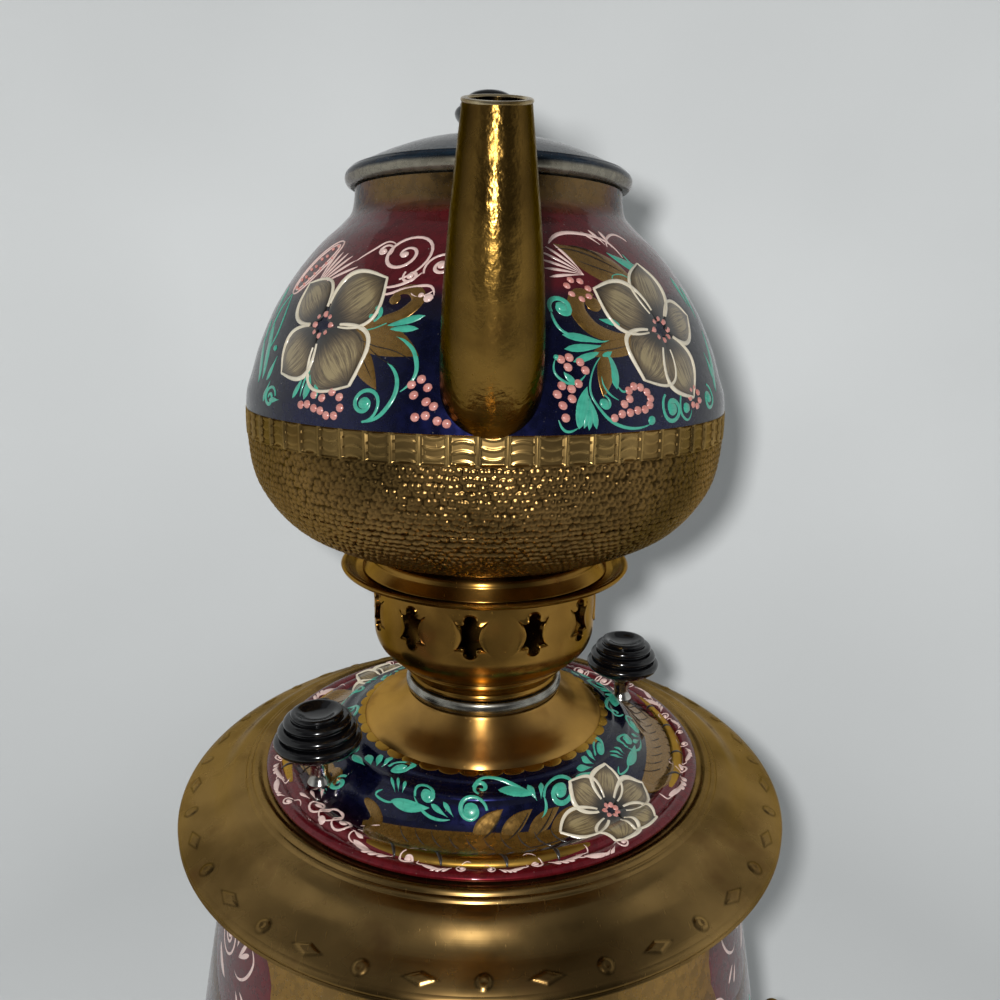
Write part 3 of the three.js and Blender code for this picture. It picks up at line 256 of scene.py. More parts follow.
# makes one piece of closed shells given in mm
def makePiece(name, shells, body, finish, replaces=(), sharp=34):
    shells = [facedOut(shell) for shell in shells]
    starts = np.cumsum([0] + [len(shell["points"]) for shell in shells[:-1]])
    points = np.vstack([shell["points"] for shell in shells]) * metre
    quads = np.vstack([shell["quads"] + start for shell, start in zip(shells, starts)])
    triangles = np.vstack([shell["triangles"] + start for shell, start in zip(shells, starts)])
    uv = np.vstack([shell["quadUv"].reshape(-1, 2) for shell in shells]
                   + [shell["triangleUv"].reshape(-1, 2) for shell in shells])
    mesh = bpy.data.meshes.new(name)
    mesh.vertices.add(len(points))
    mesh.vertices.foreach_set("co", points.astype(np.float32).ravel())
    corners = np.concatenate([quads.ravel(), triangles.ravel()]).astype(np.int32)
    mesh.loops.add(len(corners))
    mesh.loops.foreach_set("vertex_index", corners)
    mesh.polygons.add(len(quads) + len(triangles))
    quadStarts = np.arange(len(quads)) * 4
    mesh.polygons.foreach_set(
        "loop_start", np.append(quadStarts, len(quads) * 4 + np.arange(len(triangles)) * 3).astype(np.int32))
    mesh.update(calc_edges=True)
    mesh.uv_layers.new(name="surface").data.foreach_set("uv", uv.astype(np.float32).ravel())
    marks = np.concatenate([shell["hollow"] for shell in shells])
    if marks.any():
        mesh.attributes.new("hollow", "FLOAT", "POINT").data.foreach_set("value", marks.astype(np.float32))
    addPiece(mesh, body, finish, replaces, sharp)


# a table that moves a shape to a place, mm, after turning its upright axis to point along `axis`
def setDown(place=(0, 0, 0), axis=(0, 0, 1)):
    upright = np.asarray(axis, float) / np.linalg.norm(axis)
    helper = np.array([1.0, 0, 0]) if abs(upright[0]) < 0.9 else np.array([0, 1.0, 0])
    sideways = np.cross(helper, upright)
    sideways /= np.linalg.norm(sideways)
    table = np.eye(4)
    table[:3, 0], table[:3, 1], table[:3, 2] = np.cross(sideways, upright), sideways, upright
    table[:3, 3] = place
    return table


# Finishes

# sRGB hex to linear colour
def linear(hexColour):
    shares = [int(hexColour[i:i + 2], 16) / 255 for i in (1, 3, 5)]
    return tuple(s / 12.92 if s <= 0.04045 else ((s + 0.055) / 1.055) ** 2.4 for s in shares) + (1.0,)


# gives an input its value or hex colour, or links it to the node or socket that feeds it
def feed(tree, socket, value):
    if isinstance(value, bpy.types.Node):
        value = next(output for output in value.outputs if output.enabled)
    if isinstance(value, bpy.types.NodeSocket):
        tree.links.new(value, socket)
    else:
        socket.default_value = linear(value) if isinstance(value, str) else value


# adds a node with its settings and inputs; stops are a ramp's positions with hex colours or grey levels
def addNode(tree, kind, inputs=None, stops=(), **settings):
    node = tree.nodes.new("ShaderNode" + kind)
    for name, value in settings.items():
        setattr(node, name, value)
    for name, value in (inputs or {}).items():
        feed(tree, node.inputs[name], value)
    for i, (position, level) in enumerate(stops):
        elements = node.color_ramp.elements
        element = elements[i] if i < 2 else elements.new(position)
        element.position = position
        element.color = linear(level) if isinstance(level, str) else (level, level, level, 1.0)
    return node


# a material in the making: each method adds a node that many finishes use, and shade feeds the shader
class Finish:
    def __init__(self, name):
        self.material = bpy.data.materials.new(name)
        self.material.use_nodes = True
        self.tree = self.material.node_tree
        self.place = self.add("TexCoord").outputs["Object"]

    def add(self, kind, inputs=None, **settings):
        return addNode(self.tree, kind, inputs, **settings)

    # noise by the place in metres, or by other coordinates
    def noise(self, scale, detail=2.0, place=None, **inputs):
        return self.add("TexNoise", {"Vector": place or self.place, "Scale": scale, "Detail": detail,
                                     **inputs})

    def stretched(self, place, scale, turn=(0.0, 0.0, 0.0)):
        return self.add("Mapping", {0: place, "Rotation": turn, "Scale": scale})

    def ramp(self, share, *stops):
        return self.add("ValToRGB", {"Fac": share}, stops=stops)

    def reckon(self, operation, *values):
        return self.add("Math", dict(enumerate(values)), operation=operation)

    # a value from low to high becomes one from least to most
    def spread(self, value, low, high, least, most):
        return self.add("MapRange", {0: value, 1: low, 2: high, 3: least, 4: most})

    def mix(self, share, under, over, **settings):
        return self.add("Mix", {0: share, 6: under, 7: over}, data_type="RGBA", **settings).outputs[2]

    def bump(self, height, strength, distance):
        return self.add("Bump", {"Height": height, "Strength": strength, "Distance": distance})

    # the surface's own coordinates: u round a section or across a stroke, v along its line
    def surface(self):
        uv = self.add("UVMap", uv_map="surface")
        parts = self.add("SeparateXYZ", {0: uv}).outputs
        return uv, parts["X"], parts["Y"]

    def shade(self, inputs):
        for name, value in inputs.items():
            feed(self.tree, self.tree.nodes["Principled BSDF"].inputs[name], value)
        return self.material


# Brass, spun and lacquered: a warm gold mirror, gone olive and reddish in patches, with faint turning
# rings, hair scratches and dark lacquer and patina left in the recesses; the same dark colour on the spout's
# sides is painted shade
def spunBrass(name, tone, shade, blush, gloss=(0.16, 0.32), rings=0.25, dents=0.0, brushed=0.0):
    f = Finish(name)
    blots = f.noise(95.0, 3.0)
    patina = f.ramp(f.noise(34.0, 5.0), (0.34, shade), (0.62, tone))
    reddened = f.mix(f.ramp(blots, (0.58, 0.0), (0.78, 0.55)), patina, blush)
    hollow = f.add("Attribute", attribute_name="hollow").outputs["Fac"]
    # turning rings follow height + radius, which runs along every turned line
    height = f.add("SeparateXYZ", {0: f.place}).outputs["Z"]
    reach = f.add("VectorMath", {0: f.place, 1: (1.0, 1.0, 0.0)}, operation="MULTIPLY")
    radius = f.add("VectorMath", {0: reach}, operation="LENGTH").outputs["Value"]
    turning = f.add("TexNoise", {"W": f.reckon("ADD", height, radius), "Scale": 2600.0, "Detail": 3.0},
                    noise_dimensions="1D")
    hairs = f.noise(1.0, 2.0, f.stretched(f.place, (2200.0, 60.0, 900.0), (0.5, 0.9, 0.4)))
    scratch = f.ramp(hairs, (0.7, 0.0), (0.79, 1.0))
    ringed = f.reckon("MULTIPLY_ADD", turning, rings, scratch)
    relief = f.reckon("MULTIPLY_ADD", f.noise(640.0, 2.5), dents, ringed)
    wear = f.spread(blots, 0.35, 0.7, *gloss)
    return f.shade({
        # dark colour where the mark is set: dark lacquer and patina in recesses, and painted shade on the
        # spout's sides
        "Base Color": f.mix(hollow, reddened, "#1d1509"),
        "Roughness": f.reckon("MULTIPLY_ADD", scratch, 0.12, wear),
        "Normal": f.bump(relief, 0.22, 0.00006),
        # the marks of turning run round the axis, so a highlight stretches across them, up and down
        "Tangent": f.add("Tangent", direction_type="RADIAL", axis="Z"),
        "Anisotropic": brushed,
        "Anisotropic Rotation": 0.25,
        "Metallic": 1.0,
        "Specular Tint": "#d9cab0",
    })


# Tinted lacquer sprayed over brass: deep colour with the metal glinting through it, under a clear coat
# with settled dust; the colours change softly along the surface's own length (uv, mm)
def tintedLacquer(name, bands, gilt, softness=2.0):
    f = Finish(name)
    arc = f.surface()[2]
    cloud = f.noise(120.0, 4.0)
    mottle = f.noise(420.0, 3.0)
    swayed = f.reckon("MULTIPLY_ADD", f.reckon("SUBTRACT", cloud, 0.5), softness, arc)
    length = bands[-1][0]
    share = f.reckon("DIVIDE", swayed, length)
    colour = f.ramp(share, *[(at / length, tone) for at, tone in bands])
    metal = f.ramp(share, *[(at / length, level) for at, level in gilt])
    glint = f.mix(1.0, colour, f.spread(mottle, 0.3, 0.7, 0.8, 1.25), blend_type="MULTIPLY")
    dust = f.add("TexVoronoi", {"Vector": f.place, "Scale": 620.0}).outputs["Distance"]
    speck = f.ramp(dust, (0.05, 0.75), (0.11, 0.0))
    dusty = f.reckon("MULTIPLY", speck, f.ramp(cloud, (0.5, 0.0), (0.6, 1.0)))
    bump = f.bump(cloud, 0.12, 0.0002)
    return f.shade({
        "Base Color": f.mix(dusty, glint, "#a89f97"),
        "Metallic": metal,
        "Roughness": f.spread(mottle, 0.3, 0.75, 0.2, 0.38),
        "Normal": bump,
        "Coat Normal": bump,
        "Specular Tint": "#6f6466",
        "Coat Weight": 0.65,
        "Coat Roughness": 0.06,
    })


# Brush-laid enamel: opaque colour with darker bristle streaks along each stroke
def brushedEnamel(name, tone, edge, streak=0.35, rough=0.32, metal=0.0):
    f = Finish(name)
    uv = f.surface()[0]
    streaks = f.noise(1.0, 3.0, f.stretched(uv, (9.0, 0.6, 1.0)))
    load = f.noise(700.0)
    share = f.ramp(f.reckon("MULTIPLY", streaks, load), (0.14, streak), (0.34, 0.0))
    return f.shade({
        "Base Color": f.mix(share, tone, edge),
        "Roughness": f.spread(load, 0.3, 0.7, rough - 0.06, rough + 0.1),
        "Normal": f.bump(streaks, 0.2, 0.0001),
        "Metallic": metal,
        "Coat Weight": 0.5,
        "Coat Roughness": 0.12,
    })


# Polished metal with fine marks: plated nickel, turned steel, bare brass and the heater's dull sheath
def plainMetal(name, tone, shade, rough, grain):
    f = Finish(name)
    lines = f.noise(1.0, 4.0, f.stretched(f.place, grain))
    return f.shade({
        "Base Color": f.ramp(f.noise(150.0, 4.0), (0.36, shade), (0.6, tone)),
        "Roughness": f.spread(lines, 0.3, 0.7, rough * 0.7, rough * 1.35),
        "Normal": f.bump(lines, 0.15, 0.00008),
        "Metallic": 1.0,
    })


# Moulded plastic or rubber: dark and even, glossy where handled, with fine dust and scuffs
def mouldedPlastic(name, tone, dust, rough):
    f = Finish(name)
    film = f.noise(260.0, 5.0)
    return f.shade({
        "Base Color": f.mix(f.ramp(film, (0.5, 0.0), (0.8, 0.5)), tone, dust),
        "Roughness": f.spread(film, 0.3, 0.75, rough * 0.7, rough * 1.6),
        "Normal": f.bump(f.noise(900.0), 0.05, 0.00003),
    })


# Hair-stroked petals: khaki in the middle, dark towards the flower's heart and the edges
def petalEnamel():
    f = Finish("hairStrokedPetalEnamel")
    uv, across, along = f.surface()
    away = f.reckon("ABSOLUTE", f.reckon("SUBTRACT", across, 0.5))
    body = f.reckon("MULTIPLY", f.ramp(away, (0.2, 1.0), (0.48, 0.5)),
                    f.ramp(along, (0.1, 0.0), (0.42, 0.85), (0.7, 1.0), (0.96, 0.3)))
    hair = f.noise(1.0, 4.0, f.stretched(uv, (30.0, 2.4, 1.0)), Roughness=0.7)
    share = f.reckon("MULTIPLY", body, f.spread(hair, 0.32, 0.68, 0.45, 1.35))
    return f.shade({
        "Base Color": f.ramp(share, (0.0, "#0b0907"), (0.3, "#312618"), (0.7, "#6e5d40"), (1.0, "#98875f")),
        "Roughness": 0.34,
        "Normal": f.bump(hair, 0.25, 0.0001),
        "Coat Weight": 0.6,
        "Coat Roughness": 0.1,
    })


brass = spunBrass("spunLacqueredBrass", "#a87f3d", "#62461f", "#74401e", (0.16, 0.28), 0.3, 0.0, 0.6)
collarBrass = spunBrass("brushedCollarBrass", "#987a4a", "#69522f", "#61442a", (0.22, 0.31), 1.0, 0.0, 0.5)
neckBrass = spunBrass("satinNeckBrass", "#c79a52", "#937040", "#7c4f2a", (0.28, 0.38), 0.9, 0.0, 0.85)
spoutBrass = spunBrass("scratchedSpoutBrass", "#8f6e34", "#4c3819", "#4b3017", (0.18, 0.36), 0.5, 14.0, 0.5)
castBrass = spunBrass("castTapBrass", "#a57c34", "#6c5021", "#6f4220", (0.22, 0.38), 0.0)
bandBrass = spunBrass("stampedBandBrass", "#b4935a", "#7d653b", "#6d5029", (0.24, 0.36), 0.0)
pebbledBrass = spunBrass("embossedBrass", "#937344", "#624d2b", "#5e4427", (0.24, 0.36), 0.0)
nickel = plainMetal("platedNickel", "#c9c6bf", "#9b978f", 0.16, (300.0, 300.0, 1500.0))
steel = plainMetal("turnedSteel", "#a9a69c", "#77746c", 0.26, (120.0, 120.0, 2600.0))
wornLip = plainMetal("wornBareBrass", "#d2c09a", "#8d7548", 0.24, (400.0, 400.0, 400.0))
sheath = plainMetal("heaterSheathNickel", "#a5a29a", "#6c675f", 0.36, (500.0, 500.0, 500.0))
phenolic = mouldedPlastic("mouldedPhenolic", "#08080a", "#1c1c1c", 0.13)
rubber = mouldedPlastic("pressedRubber", "#2e2a27", "#4a4642", 0.6)
print("finishes made")

# Painting. Every stroke is a centre line on the surface with a half width and a thickness at each point,
# all in mm: x runs along the rim and y up the surface, from an anchor given by azimuth and arc.
strokeSection = np.array([(-1.0, -0.25), (-0.7, 0.7), (0.0, 1.0), (0.7, 0.7), (1.0, -0.25), (0.0, -0.7)])
petalSection = np.array([(-1.0, -0.3), (-0.88, 0.5), (-0.6, 0.85), (-0.2, 1.0), (0.2, 1.0), (0.6, 0.85),
                         (0.88, 0.5), (1.0, -0.3), (0.0, -0.8)])


# a line through points at an even pace, with a half width that swells in its middle or towards one end
def vine(points, width, swell=0.5, count=20, thick=0.16):
    line = smoothLine(points, arcLengths(np.asarray(points, float))[-1] / 60)
    places = np.linspace(0, arcLengths(line)[-1], count)
    s = np.linspace(0, 1, count)
    x, y = (np.interp(places, arcLengths(line), column) for column in line.T)
    body = np.sin(math.pi * s ** (math.log(0.5) / math.log(swell))) ** 0.7
    return np.stack([x, y, width * (0.16 + 0.84 * body), thick * (0.4 + 0.6 * body)], axis=1)


# a scroll that winds into its centre: radius falls evenly from the outside while the angle turns
def scroll(x, y, radius, start, turns, width, count=26, thick=0.16):
    s = np.linspace(0, 1, count)
    angle = math.radians(start) + turns * fullTurn * s
    reach = radius * (1 - 0.86 * s ** 0.9)
    half = width * (0.3 + 0.7 * np.sin(math.pi * (0.12 + 0.8 * s)))
    return np.stack([x + reach * np.cos(angle), y + reach * np.sin(angle), half, np.full(count, thick)],
                    axis=1)


# a drop: thin where it starts, fat and round where it ends
def drop(x, y, angle, length, width, bend=0.0, count=9, thick=0.18):
    s = np.linspace(0, 1, count)
    heading = math.radians(angle) + math.radians(bend) * (s - 0.5)
    step = length / (count - 1)
    dx = np.concatenate([[0], np.cumsum(np.cos(heading[:-1]) * step)])
    dy = np.concatenate([[0], np.cumsum(np.sin(heading[:-1]) * step)])
    half = width * np.sin(math.pi * s ** 1.9) ** 0.75
    return np.stack([x + dx, y + dy, np.maximum(half, 0.03), thick * (0.3 + 0.7 * half / width)], axis=1)


# a leaf: pointed at both ends and bent like a blade
def blade(x, y, angle, length, width, bend=30.0, count=12, thick=0.16):
    path = drop(x, y, angle, length, width, bend, count, thick)
    s = np.linspace(0, 1, count)
    half = width * np.sin(math.pi * s ** 0.8) ** 0.9
    path[:, 2], path[:, 3] = np.maximum(half, 0.03), thick * (0.4 + 0.6 * half / width)
    return path


# a round dot, low like a lens
def dot(x, y, radius, count=7, thick=0.42):
    s = np.linspace(-1, 1, count)
    half = np.sqrt(1 - s**2)
    return np.stack([x + radius * s, np.full(count, y), np.maximum(half * radius, 0.02), thick * half],
                    axis=1)


# dots evenly round a ring
def berryRing(x, y, radius, number, size, start=0.0):
    angles = math.radians(start) + np.arange(number) * fullTurn / number
    return [dot(x + radius * math.cos(a), y + radius * math.sin(a), size) for a in angles]


# a pointed petal from near the flower's middle: its half width grows, then closes to the tip
def petalShape(angle, length, width):
    s = np.linspace(0, 1, 26)
    half = width * 1.38 * s ** 0.62 * (1 - s**3.0) ** 1.15
    a = math.radians(angle)
    reach = 1.6 + (length - 1.6) * s
    return s, reach * math.cos(a), reach * math.sin(a), half, a


def petal(angle, length, width):
    s, x, y, half, _ = petalShape(angle, length, width)
    return np.stack([x, y, np.maximum(half * 0.97, 0.03), np.full(len(s), 0.3)], axis=1)


# the two cream lines along a petal's edges, heavier towards the tip
def petalEdges(angle, length, width, heavy):
    s, x, y, half, a = petalShape(angle, length, width)
    lines = []
    for side, weight in ((1, 1.0), (-1, 0.72)):
        edge = [x - side * half * math.sin(a), y + side * half * math.cos(a)]
        body = heavy * weight * np.sin(math.pi * (0.1 + 0.72 * s)) ** 0.8
        lines.append(np.stack(edge + [np.maximum(body, 0.05), np.full(len(s), 0.42)], axis=1)[3:])
    return lines


# strokes of one colour laid on a spun surface: rings of the section stand across each centre line, and
# every point goes to azimuth = anchor + x / radius and sits its own height above the surface
def strokeShells(line, strokes, crossSection):
    arcs = arcLengths(line)
    normal = outward(line)
    groups = {}
    for azimuth, arc, path in strokes:
        groups.setdefault(len(path), []).append((azimuth, arc, path))
    shells = []
    for count, members in groups.items():
        azimuth = np.radians([member[0] for member in members])[:, None, None]
        arc = np.array([member[1] for member in members], float)[:, None, None]
        paths = np.stack([member[2] for member in members])
        along = np.gradient(paths[..., :2], axis=1)
        along /= np.maximum(np.linalg.norm(along, axis=-1, keepdims=True), 1e-9)
        across, up = crossSection.T
        x = paths[..., 0, None] - along[..., 1, None] * paths[..., 2, None] * across
        y = arc + paths[..., 1, None] + along[..., 0, None] * paths[..., 2, None] * across
        y = np.clip(y, 0, arcs[-1])
        height = paths[..., 3, None] * up
        radius, level = np.interp(y, arcs, line[:, 0]), np.interp(y, arcs, line[:, 1])
        outX, outZ = np.interp(y, arcs, normal[:, 0]), np.interp(y, arcs, normal[:, 1])
        turn = azimuth + x / np.maximum(radius, 1.0)
        reach = radius + outX * height
        points = np.stack([reach * np.sin(turn), -reach * np.cos(turn), level + outZ * height], axis=-1)
        sides = len(across)
        number = len(members)
        quads = gridQuads(count, sides)
        base = (np.arange(number) * count * sides)[:, None, None]
        fan = np.stack([np.zeros(sides - 2, int), np.arange(1, sides - 1), np.arange(2, sides)], axis=1)
        caps = np.vstack([fan[:, ::-1], fan + (count - 1) * sides])
        share = np.linspace(0, 1, count)
        u = (across + 1) / 2
        cornerUv = lambda index: np.stack([u[index % sides], share[index // sides]], axis=-1)
        shells.append({
            "points": points.reshape(-1, 3),
            "quads": (quads[None] + base).reshape(-1, 4),
            "quadUv": np.tile(cornerUv(quads), (number, 1, 1)),
            "triangles": (caps[None] + base).reshape(-1, 3),
            "triangleUv": np.tile(cornerUv(caps), (number, 1, 1)),
            "hollow": np.zeros(number * count * sides),
        })
    return shells


# Teapot: its belly is one smooth line, cut into a pebbled bowl, a stamped band and a painted shoulder
teapotSizes = {
    "floor": lowest("teapot_body"),
    "wall": 1.1,
    "foot": [[(31, 0), (36, 0)], [(35.2, 0.9), (33.6, 3)], [(33.4, 3.9), (32.3, 5.1)],
             [(31.6, 6.2), (31.5, 6.9)], [(35.2, 7.2), (39.2, 7.9)]],
    "belly": [(39.2, 7.9), (48.5, 11.9), (54.9, 15.9), (58.7, 19.9), (61.4, 23.9), (63.4, 27.9), (64.5, 31.9),
              (65.2, 37.9), (65.4, 43.9), (65.3, 46.9), (64.8, 51.9), (63.4, 55.9), (61.5, 61.9),
              (59.4, 66.9), (57, 71.9), (53.3, 77.9), (48.8, 83.9), (44.3, 88.9), (38.8, 93.9),
              (36.6, 96.4), (35.7, 99.9), (35.5, 102.7)],
    "bandLow": 40.7,
    "bandHigh": 47.2,
    "bandCount": 66,  # stamped rectangles round the band
    "pebble": 1.7,  # mm from one pebble to the next
    "pebbleRise": 0.5,
    "pebbleSplit": 24.0,  # height where the lower, narrower ring of pebbles ends
}


# the stretch of a line between two heights
def cutLine(line, low, high, step):
    heights = np.linspace(low, high, max(3, math.ceil((high - low) / step)))
    return np.stack([np.interp(heights, line[:, 1], line[:, 0]), heights], axis=1)


# rough random shares from 0 to 1 that depend only on two whole numbers
def scatter(a, b, seed=0.0):
    return np.modf(np.abs(np.sin(a * 127.1 + b * 311.7 + seed * 74.7) * 43758.5453))[0]


# pebbles: a dome over each pebble's middle, height = sqrt(1 - (distance / 0.6)^2), cut off at the seam
# between the nearest two; the pebbles stand in rows that shift by half a pebble and wander a little
def pebbles(azimuth, arc, count, start):
    size = teapotSizes["pebble"]
    x, y = azimuth / fullTurn * count, (arc + start) / size
    nearest = np.full(x.shape, 9.0)
    second = np.full(x.shape, 9.0)
    for row in (-1, 0, 1):
        cellY = np.floor(y) + row
        shift = 0.5 * (cellY % 2)
        for column in (-1, 0, 1):
            cellX = np.floor(x - shift) + column
            wrapped = cellX % count
            dx = cellX + shift + 0.5 + 0.44 * (scatter(wrapped, cellY) - 0.5) - x
            dy = cellY + 0.5 + 0.44 * (scatter(wrapped, cellY, 1.0) - 0.5) - y
            away = np.hypot(dx, dy)
            second = np.minimum(second, np.maximum(nearest, away))
            nearest = np.minimum(nearest, away)
    dome = np.sqrt(np.clip(1 - (nearest / 0.6) ** 2, 0, 1))
    return dome * np.clip((second - nearest) / 0.14, 0, 1) ** 0.5


def makeTeapotBody():
    s = teapotSizes
    down = setDown((0, 0, s["floor"]))
    belly = smoothLine(s["belly"], 0.5)
    low, high = s["bandLow"], s["bandHigh"]

    # outer face of a ring with its own wall behind it
    def ring(line, columns, lift=None, hollow=None):
        reach = arcLengths(line)[-1]
        keep = lambda shape: shape and (lambda a, t: np.where(t <= reach, shape(a, np.minimum(t, reach)), 0))
        return spun(sheetRing(line, s["wall"], 12), columns, True, keep(lift), keep(hollow), down)

    # bowl of pebbles in two rings, the lower one with fewer columns for its smaller girth
    for name, start, end, columns, step, count in (
            ("teapotPebblesLow", s["belly"][0][1] + 0.9, s["pebbleSplit"], 980, 0.32, 189),
            ("teapotPebblesHigh", s["pebbleSplit"], low, 1300, 0.3, 238)):
        line = smoothLine(cutLine(belly, start, end, 0.2), step)
        lift = lambda a, t, count=count: s["pebbleRise"] * (pebbles(a, t, count, start) - 1)
        hollow = lambda a, t, count=count: 0.8 * (1 - pebbles(a, t, count, start)) ** 1.6
        makePiece(name, [ring(line, columns, lift, hollow)], "teapot", pebbledBrass, sharp=70)

    # stamped band: rectangles between raised bars, each with three thin arcs, bowed up and down by turns
    tall = high - low
    line = smoothLine(cutLine(belly, low, high, 0.2), 0.2)

    def stamp(azimuth, arc):
        share = np.modf(azimuth / fullTurn * s["bandCount"] + 1000)[0]
        number = np.floor(azimuth / fullTurn * s["bandCount"])
        bar = np.minimum(share, 1 - share)
        bow = 0.9 * np.sin(share * math.pi) * np.where(number % 2 == 0, 1, -1)
        reach = np.clip((0.37 - np.abs(share - 0.5)) / 0.08, 0, 1)
        waves = 2 * reach * np.clip(np.cos((arc + bow) / tall * fullTurn * 3), 0, 1) ** 3 - 1
        inside = np.clip((bar - 0.05) / 0.045, 0, 1) * np.clip(np.minimum(arc, tall - arc) / 0.4, 0, 1)
        return inside, waves

    def stampLift(azimuth, arc):
        inside, waves = stamp(azimuth, arc)
        return 0.14 - inside * (0.44 - 0.09 * waves)

    def stampHollow(azimuth, arc):
        inside, waves = stamp(azimuth, arc)
        edge = np.clip(1 - np.abs(inside - 0.6) * 2.5, 0, 1)
        return np.clip(inside * np.clip(0.12 - 0.2 * waves, 0, 0.3) + 0.35 * edge, 0, 0.6)

    makePiece("teapotBand", [ring(line, s["bandCount"] * 20, stampLift, stampHollow)],
              "teapot", bandBrass, sharp=60)

    # painted shoulder up to the plain neck, and the stepped foot with the floor inside
    shoulder = smoothLine(cutLine(belly, high, s["belly"][-1][1], 0.2), 0.8)
    makePiece("teapotShoulder", [ring(shoulder, 256)], "teapot", shoulderLacquer,
              replaces=["teapot_body"])
    footBack = [(40.6, 10.0), (31.0, 8.2), (31.0, 0.0)]
    foot = section(s["foot"] + [[(41.4, 8.8)]], 0.4, 0.25)
    floor = section([[(0, 5.8), (31.2, 5.8)], [(31.2, 4.6)], [(0, 4.6)]], 1.5, 0.1)
    shells = [spun(np.vstack([foot, footBack]), 192, True, place=down), spun(floor, 96, place=down)]
    makePiece("teapotFoot", shells, "teapot", brass)
    return shoulder


shoulderLacquer = tintedLacquer(
    "tintedShoulderLacquer",
    [(0.0, "#10143a"), (24.0, "#0e1230"), (29.0, "#1c0f26"), (33.0, "#5c0f1a"), (55.0, "#651018"),
     (60.0, "#6b5027"), (75.0, "#7b5d2b")],
    [(0, 0.8), (28, 0.7), (33, 0.4), (55, 0.4), (60, 1), (75, 1)])
shoulderLine = makeTeapotBody()

# Spout: a tapered pipe that climbs from the belly, with a lip worn down to bare white metal
spoutSizes = {
    "turn": -3.2,  # degrees to the left of the tap
    "path": [(60, 55.9), (65, 58.2), (72.4, 65), (77.5, 75), (81, 85), (83.9, 95.8),
             (86.5, 105.5)],  # out and up from the foot's middle
    "radius": [(0, 10.6), (0.12, 10.4), (0.3, 10), (0.5, 9.2), (0.7, 8), (0.87, 6.75), (0.95, 6.15),
               (1, 5.8)],
    "wall": 1.3,
    "flankShade": 0.9,  # painted shade: how dark the spout's sides are painted, for the dark room they reflect; a strip along the front stays bright
    "slant": 0.08,  # mm that the mouth sinks for each mm towards the front
    "mouthTilt": 19,
    "lip": [[(4.8, -0.35), (5.8, -0.35)], [(6.05, 0), (5.8, 0.35)], [(5, 0.4)],
            [(4.7, 0), (4.8, -0.35)]],
}


def makeSpout():
    s = spoutSizes
    turn = math.radians(s["turn"])
    ahead = np.array([math.sin(turn), -math.cos(turn), 0.0])
    upward = np.array([0.0, 0.0, 1.0])
    path = smoothLine([ahead * out + upward * (up + teapotSizes["floor"]) for out, up in s["path"]], 0.8)
    radius = alongPath(path, s["radius"])
    bore = radius - s["wall"]
    # painted shade: the spout's colour darkens away from a strip along its front, standing for the dark room
    # that its sides reflect
    paintedFlankShade = lambda a, t: s["flankShade"] * np.clip((0.93 - np.cos(a)) / 0.4, 0, 1)
    pipe = carried(path, radius, 96, (math.cos(turn), math.sin(turn), 0), bore, hollow=paintedFlankShade)
    # the mouth is cut at a slant: near the end, points sink in front of the axis and rise behind it
    tip = path[-1]
    near = np.clip((pipe["points"][:, 2] - tip[2] + 9.0) / 9.0, 0, 1)
    pipe["points"][:, 2] -= near * s["slant"] * ((pipe["points"] - tip) @ ahead)
    makePiece("teapotSpout", [pipe], "teapot", spoutBrass, ["teapot_spout"], sharp=50)
    tilt = math.radians(s["mouthTilt"])
    place = setDown(tip, ahead * math.sin(tilt) + upward * math.cos(tilt))
    makePiece("teapotSpoutLip", [spun(section(s["lip"], 0.3, 0.15, True), 96, True, place=place)],
              "teapot", wornLip)


makeSpout()

# Teapot lid: blued rim, painted dome, black knob on a nickel washer
potLidSizes = {
    "seat": lowest("teapot_lid") + 7,  # the skirt goes 7 mm into the neck
    "rim": [[(31.5, -7), (32.8, -7)], [(33, 0)], [(36.2, 0)],
            [(37.4, 0.55), (38, 1.9), (37.8, 3.1), (36.9, 4)],
            [(36.4, 4.5), (35.4, 4.7)]],
    "dome": [[(35.4, 4.7), (33, 5.9), (29.6, 7.5), (25.4, 9.2), (20.5, 10.9), (15.2, 12.2), (10.6, 12.9)],
             [(9.9, 13.3), (8.8, 13.2)], [(2.6, 13.4)]],
    "knob": [[(2.3, 0), (3.8, 0.1), (5.8, 0.5), (7.8, 1.4), (8.9, 2.6), (9.2, 3.7), (8.7, 4.7), (7.9, 5)],
             [(7.9, 5.6), (7.3, 6.4), (6.3, 6.7)], [(6.2, 7.4), (5.2, 8.3), (3.4, 8.9)],
             [(1.8, 9.1), (0, 8.7)]],
}


def makePotLid():
    s = potLidSizes
    down = setDown((0, 0, s["seat"]))
    rim = section(s["rim"], 0.5, 0.25)
    dome = section(s["dome"], 0.6, 0.2)
    makePiece("teapotLidRim", [spun(np.vstack([rim, [(35.0, 3.6), (31.6, 2.4)]]), 192, True, place=down)],
              "teapot_lid", rimLacquer, ["teapot_lid"])
    makePiece("teapotLidDome", [spun(sheetRing(dome, 1.1, 8), 192, True, place=down)],
              "teapot_lid", domeLacquer)
    knob = np.vstack([[(0, 5.9), (2.3, 5.9)], section(s["knob"], 0.4, 0.3)])
    seat = middle("teapot_lid_knob")
    makePiece("teapotLidKnob", [spun(knob, 96, place=setDown((seat[0], seat[1], lowest("teapot_lid_knob"))))],
              "teapot_lid", phenolic, ["teapot_lid_knob"], sharp=28)


